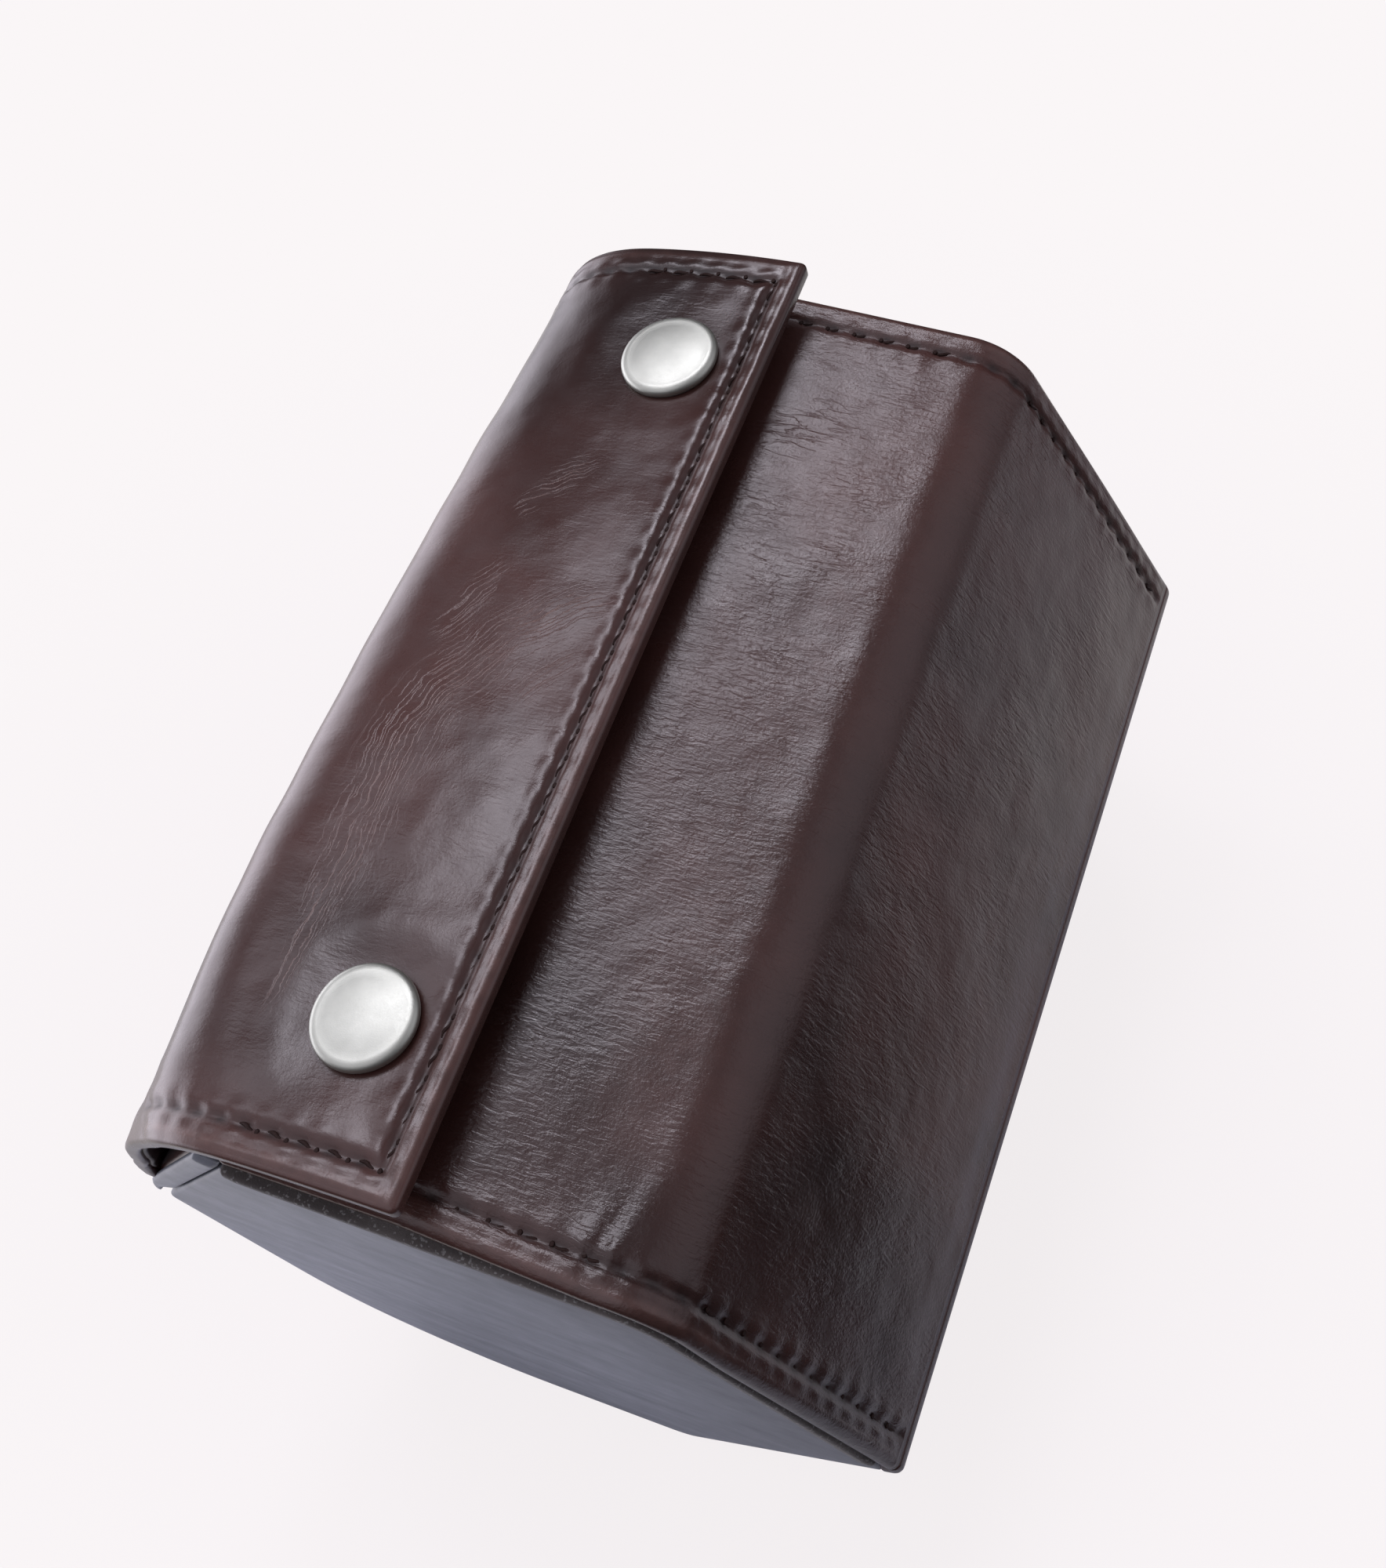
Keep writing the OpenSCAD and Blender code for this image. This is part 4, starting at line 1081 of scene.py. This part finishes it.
cushion("cushion_pad_near", "cushion_near", 5)
cushion("cushion_pad_far", "cushion_far", 6)

# ---- Stage, light and camera ----
scene = bpy.context.scene
BG = ungamma((250, 246, 247))


def stage_material():
    """A pale round floor, cut straight at the front. The camera sees it plain with a faint shadow, and for
    diffuse light it is matt white. Reflections see it darker near the object and at its front and near side."""
    k = Nodes("floor")
    t = k.t
    t.nodes.remove(k.bsdf)
    tc = k.new("ShaderNodeTexCoord")
    ln = k.new("ShaderNodeVectorMath", operation="LENGTH")
    k.link(tc.outputs["Object"], ln.inputs[0])
    dif, dif2 = k.new("ShaderNodeBsdfDiffuse"), k.new("ShaderNodeBsdfDiffuse")
    grain = k.noise(tc.outputs["Object"], 90.0, 2.0)
    k.link(k.mix(grain, (0.90, 0.90, 0.92), (0.93, 0.93, 0.95)), dif.inputs["Color"])
    dif2.inputs["Color"].default_value = (*BG, 1)
    em = k.new("ShaderNodeEmission")
    em.inputs["Color"].default_value = (*BG, 1)
    seen = k.new("ShaderNodeMixShader")
    near = k.ramp(ln.outputs["Value"], [(0.09, 1.0), (0.18, 0.0)])
    k.link(k.math("MULTIPLY", near, SHADOW), seen.inputs[0])
    k.link(em.outputs[0], seen.inputs[1])
    k.link(dif2.outputs[0], seen.inputs[2])
    mix, lp = k.new("ShaderNodeMixShader"), k.new("ShaderNodeLightPath")
    gloss, some = k.new("ShaderNodeMixShader"), k.new("ShaderNodeMixShader")
    # Painted shadow: reflections see a darker floor near the object and on its front and near side, where the
    # object's shadow falls.
    dark = k.new("ShaderNodeBsdfDiffuse")
    dark.inputs["Color"].default_value = (0.62, 0.64, 0.70, 1)
    aside = k.new("ShaderNodeVectorMath", operation="DOT_PRODUCT")
    k.link(tc.outputs["Object"], aside.inputs[0])
    aside.inputs[1].default_value = (0.77, -0.64, 0.0)
    away = k.ramp(ln.outputs["Value"], [(0.098, 0.0), (0.145, 1.0)])
    not_front = k.ramp(aside.outputs["Value"], [(0.100, 1.0), (0.135, 0.0)])
    k.link(k.math("MULTIPLY", away, not_front), some.inputs[0])
    k.link(dark.outputs[0], some.inputs[1])
    k.link(em.outputs[0], some.inputs[2])
    k.link(lp.outputs["Is Glossy Ray"], gloss.inputs[0])
    k.link(dif.outputs[0], gloss.inputs[1])
    k.link(some.outputs[0], gloss.inputs[2])
    k.link(lp.outputs["Is Camera Ray"], mix.inputs[0])
    k.link(gloss.outputs[0], mix.inputs[1])
    k.link(seen.outputs[0], mix.inputs[2])
    k.link(mix.outputs[0], k.out.inputs[0])
    return k.mat


FLOOR_R, FLOOR_CUT, FLOOR_Z, SHADOW = 0.20, 0.155, -0.0002, 0.12
turns = np.linspace(0, 2 * math.pi, 97)[:-1]
ring = [(min(FLOOR_R * math.cos(a), FLOOR_CUT), FLOOR_R * math.sin(a), FLOOR_Z) for a in turns]
floor = new_object("floor", ring, [tuple(range(len(ring)))], stage_material(), smooth=False)

# The studio: soft bright areas high at the back and beyond the far end, a low bright wall at the back, a
# weak patch low at the front, and very little light anywhere else.
world_ = bpy.data.worlds.new("studio")
scene.world = world_
world_.use_nodes = True
wt = world_.node_tree
wt.nodes.clear()


def wnew(kind, **kw):
    n = wt.nodes.new(kind)
    for key, v in kw.items():
        setattr(n, key, v)
    return n


def wmath(op, *vals):
    n = wnew("ShaderNodeMath", operation=op)
    for i, v in enumerate(vals):
        if hasattr(v, "is_linked"):
            wt.links.new(v, n.inputs[i])
        else:
            n.inputs[i].default_value = v
    return n.outputs[0]


def toward(az, el):
    a, e = math.radians(az), math.radians(el)
    return (math.cos(e) * math.cos(a), math.cos(e) * math.sin(a), math.sin(e))


wtc, wsep = wnew("ShaderNodeTexCoord"), wnew("ShaderNodeSeparateXYZ")
wt.links.new(wtc.outputs["Generated"], wsep.inputs[0])


def lobe(az, el, full, none):
    """One inside the full angle from a direction, falling to zero at the other angle."""
    dot = wnew("ShaderNodeVectorMath", operation="DOT_PRODUCT")
    wt.links.new(wtc.outputs["Generated"], dot.inputs[0])
    dot.inputs[1].default_value = toward(az, el)
    rng = wnew("ShaderNodeMapRange", interpolation_type="SMOOTHSTEP")
    wt.links.new(dot.outputs["Value"], rng.inputs["Value"])
    rng.inputs["From Min"].default_value = math.cos(math.radians(none))
    rng.inputs["From Max"].default_value = math.cos(math.radians(full))
    return rng.outputs[0]


def ramp_z(z0, z1, v0, v1):
    rng = wnew("ShaderNodeMapRange", interpolation_type="SMOOTHSTEP")
    wt.links.new(wsep.outputs["Z"], rng.inputs["Value"])
    for key, v in (("From Min", z0), ("From Max", z1), ("To Min", v0), ("To Max", v1)):
        rng.inputs[key].default_value = v
    return rng.outputs[0]


low = wmath("MULTIPLY", lobe(178, -8, 10, 52), ramp_z(0.04, 0.36, 3.4, 0.0))
light = wmath("ADD", low, ramp_z(-0.05, 0.05, 0.05, 0.10))
# Each: azimuth and height, the angles from its middle where it is full and gone, in degrees, its strength.
AREAS = ((148, 55, 3, 13, 7.6), (138, 58, 3, 12, 0.7), (126, 60, 3, 13, 0.1), (112, 52, 3, 10, 15.0),
         (172, 38, 3, 11, 2.4), (-135, 58, 20, 50, 0.90), (25, 34, 12, 45, 0.65), (38, -21, 6, 18, 0.75))
for az, el, full, none, power in AREAS:
    light = wmath("ADD", light, wmath("MULTIPLY", lobe(az, el, full, none), power))
wo, cam_bg, lit_bg = wnew("ShaderNodeOutputWorld"), wnew("ShaderNodeBackground"), wnew("ShaderNodeBackground")
cam_bg.inputs["Color"].default_value = (*BG, 1)
lit_bg.inputs["Color"].default_value = (0.975, 0.94, 1.04, 1)
wt.links.new(light, lit_bg.inputs["Strength"])
wm, wl = wnew("ShaderNodeMixShader"), wnew("ShaderNodeLightPath")
wt.links.new(wl.outputs["Is Camera Ray"], wm.inputs[0])
wt.links.new(lit_bg.outputs[0], wm.inputs[1])
wt.links.new(cam_bg.outputs[0], wm.inputs[2])
wt.links.new(wm.outputs[0], wo.inputs[0])

# Camera: the photograph's place, from the object's own edges.
F_PX = 2411.2
rv = Vector((2.64546372, 0.44206756, -0.2444449))
R = Matrix.Rotation(rv.length, 3, rv.normalized())
T = Vector((-0.06381, 1.00970, 3.52430)) * 0.055
eye = -(R.transposed() @ T)
cam = bpy.data.cameras.new("camera")
cam_ob = bpy.data.objects.new("camera", cam)
scene.collection.objects.link(cam_ob)
cam.sensor_fit = "VERTICAL"
cam.sensor_height = 36.0
cam.lens = F_PX / 2000.0 * 36.0
rot = R.transposed() @ Matrix(((1, 0, 0), (0, -1, 0), (0, 0, -1)))
eye_w = Vector((eye.x + SX / 1000, eye.y - HALF_L / 1000, eye.z + CASE_H / 1000))
cam_ob.matrix_world = Matrix.Translation(eye_w) @ rot.to_4x4()
cam.clip_start = 0.01
scene.camera = cam_ob
scene.view_settings.view_transform = "Standard"
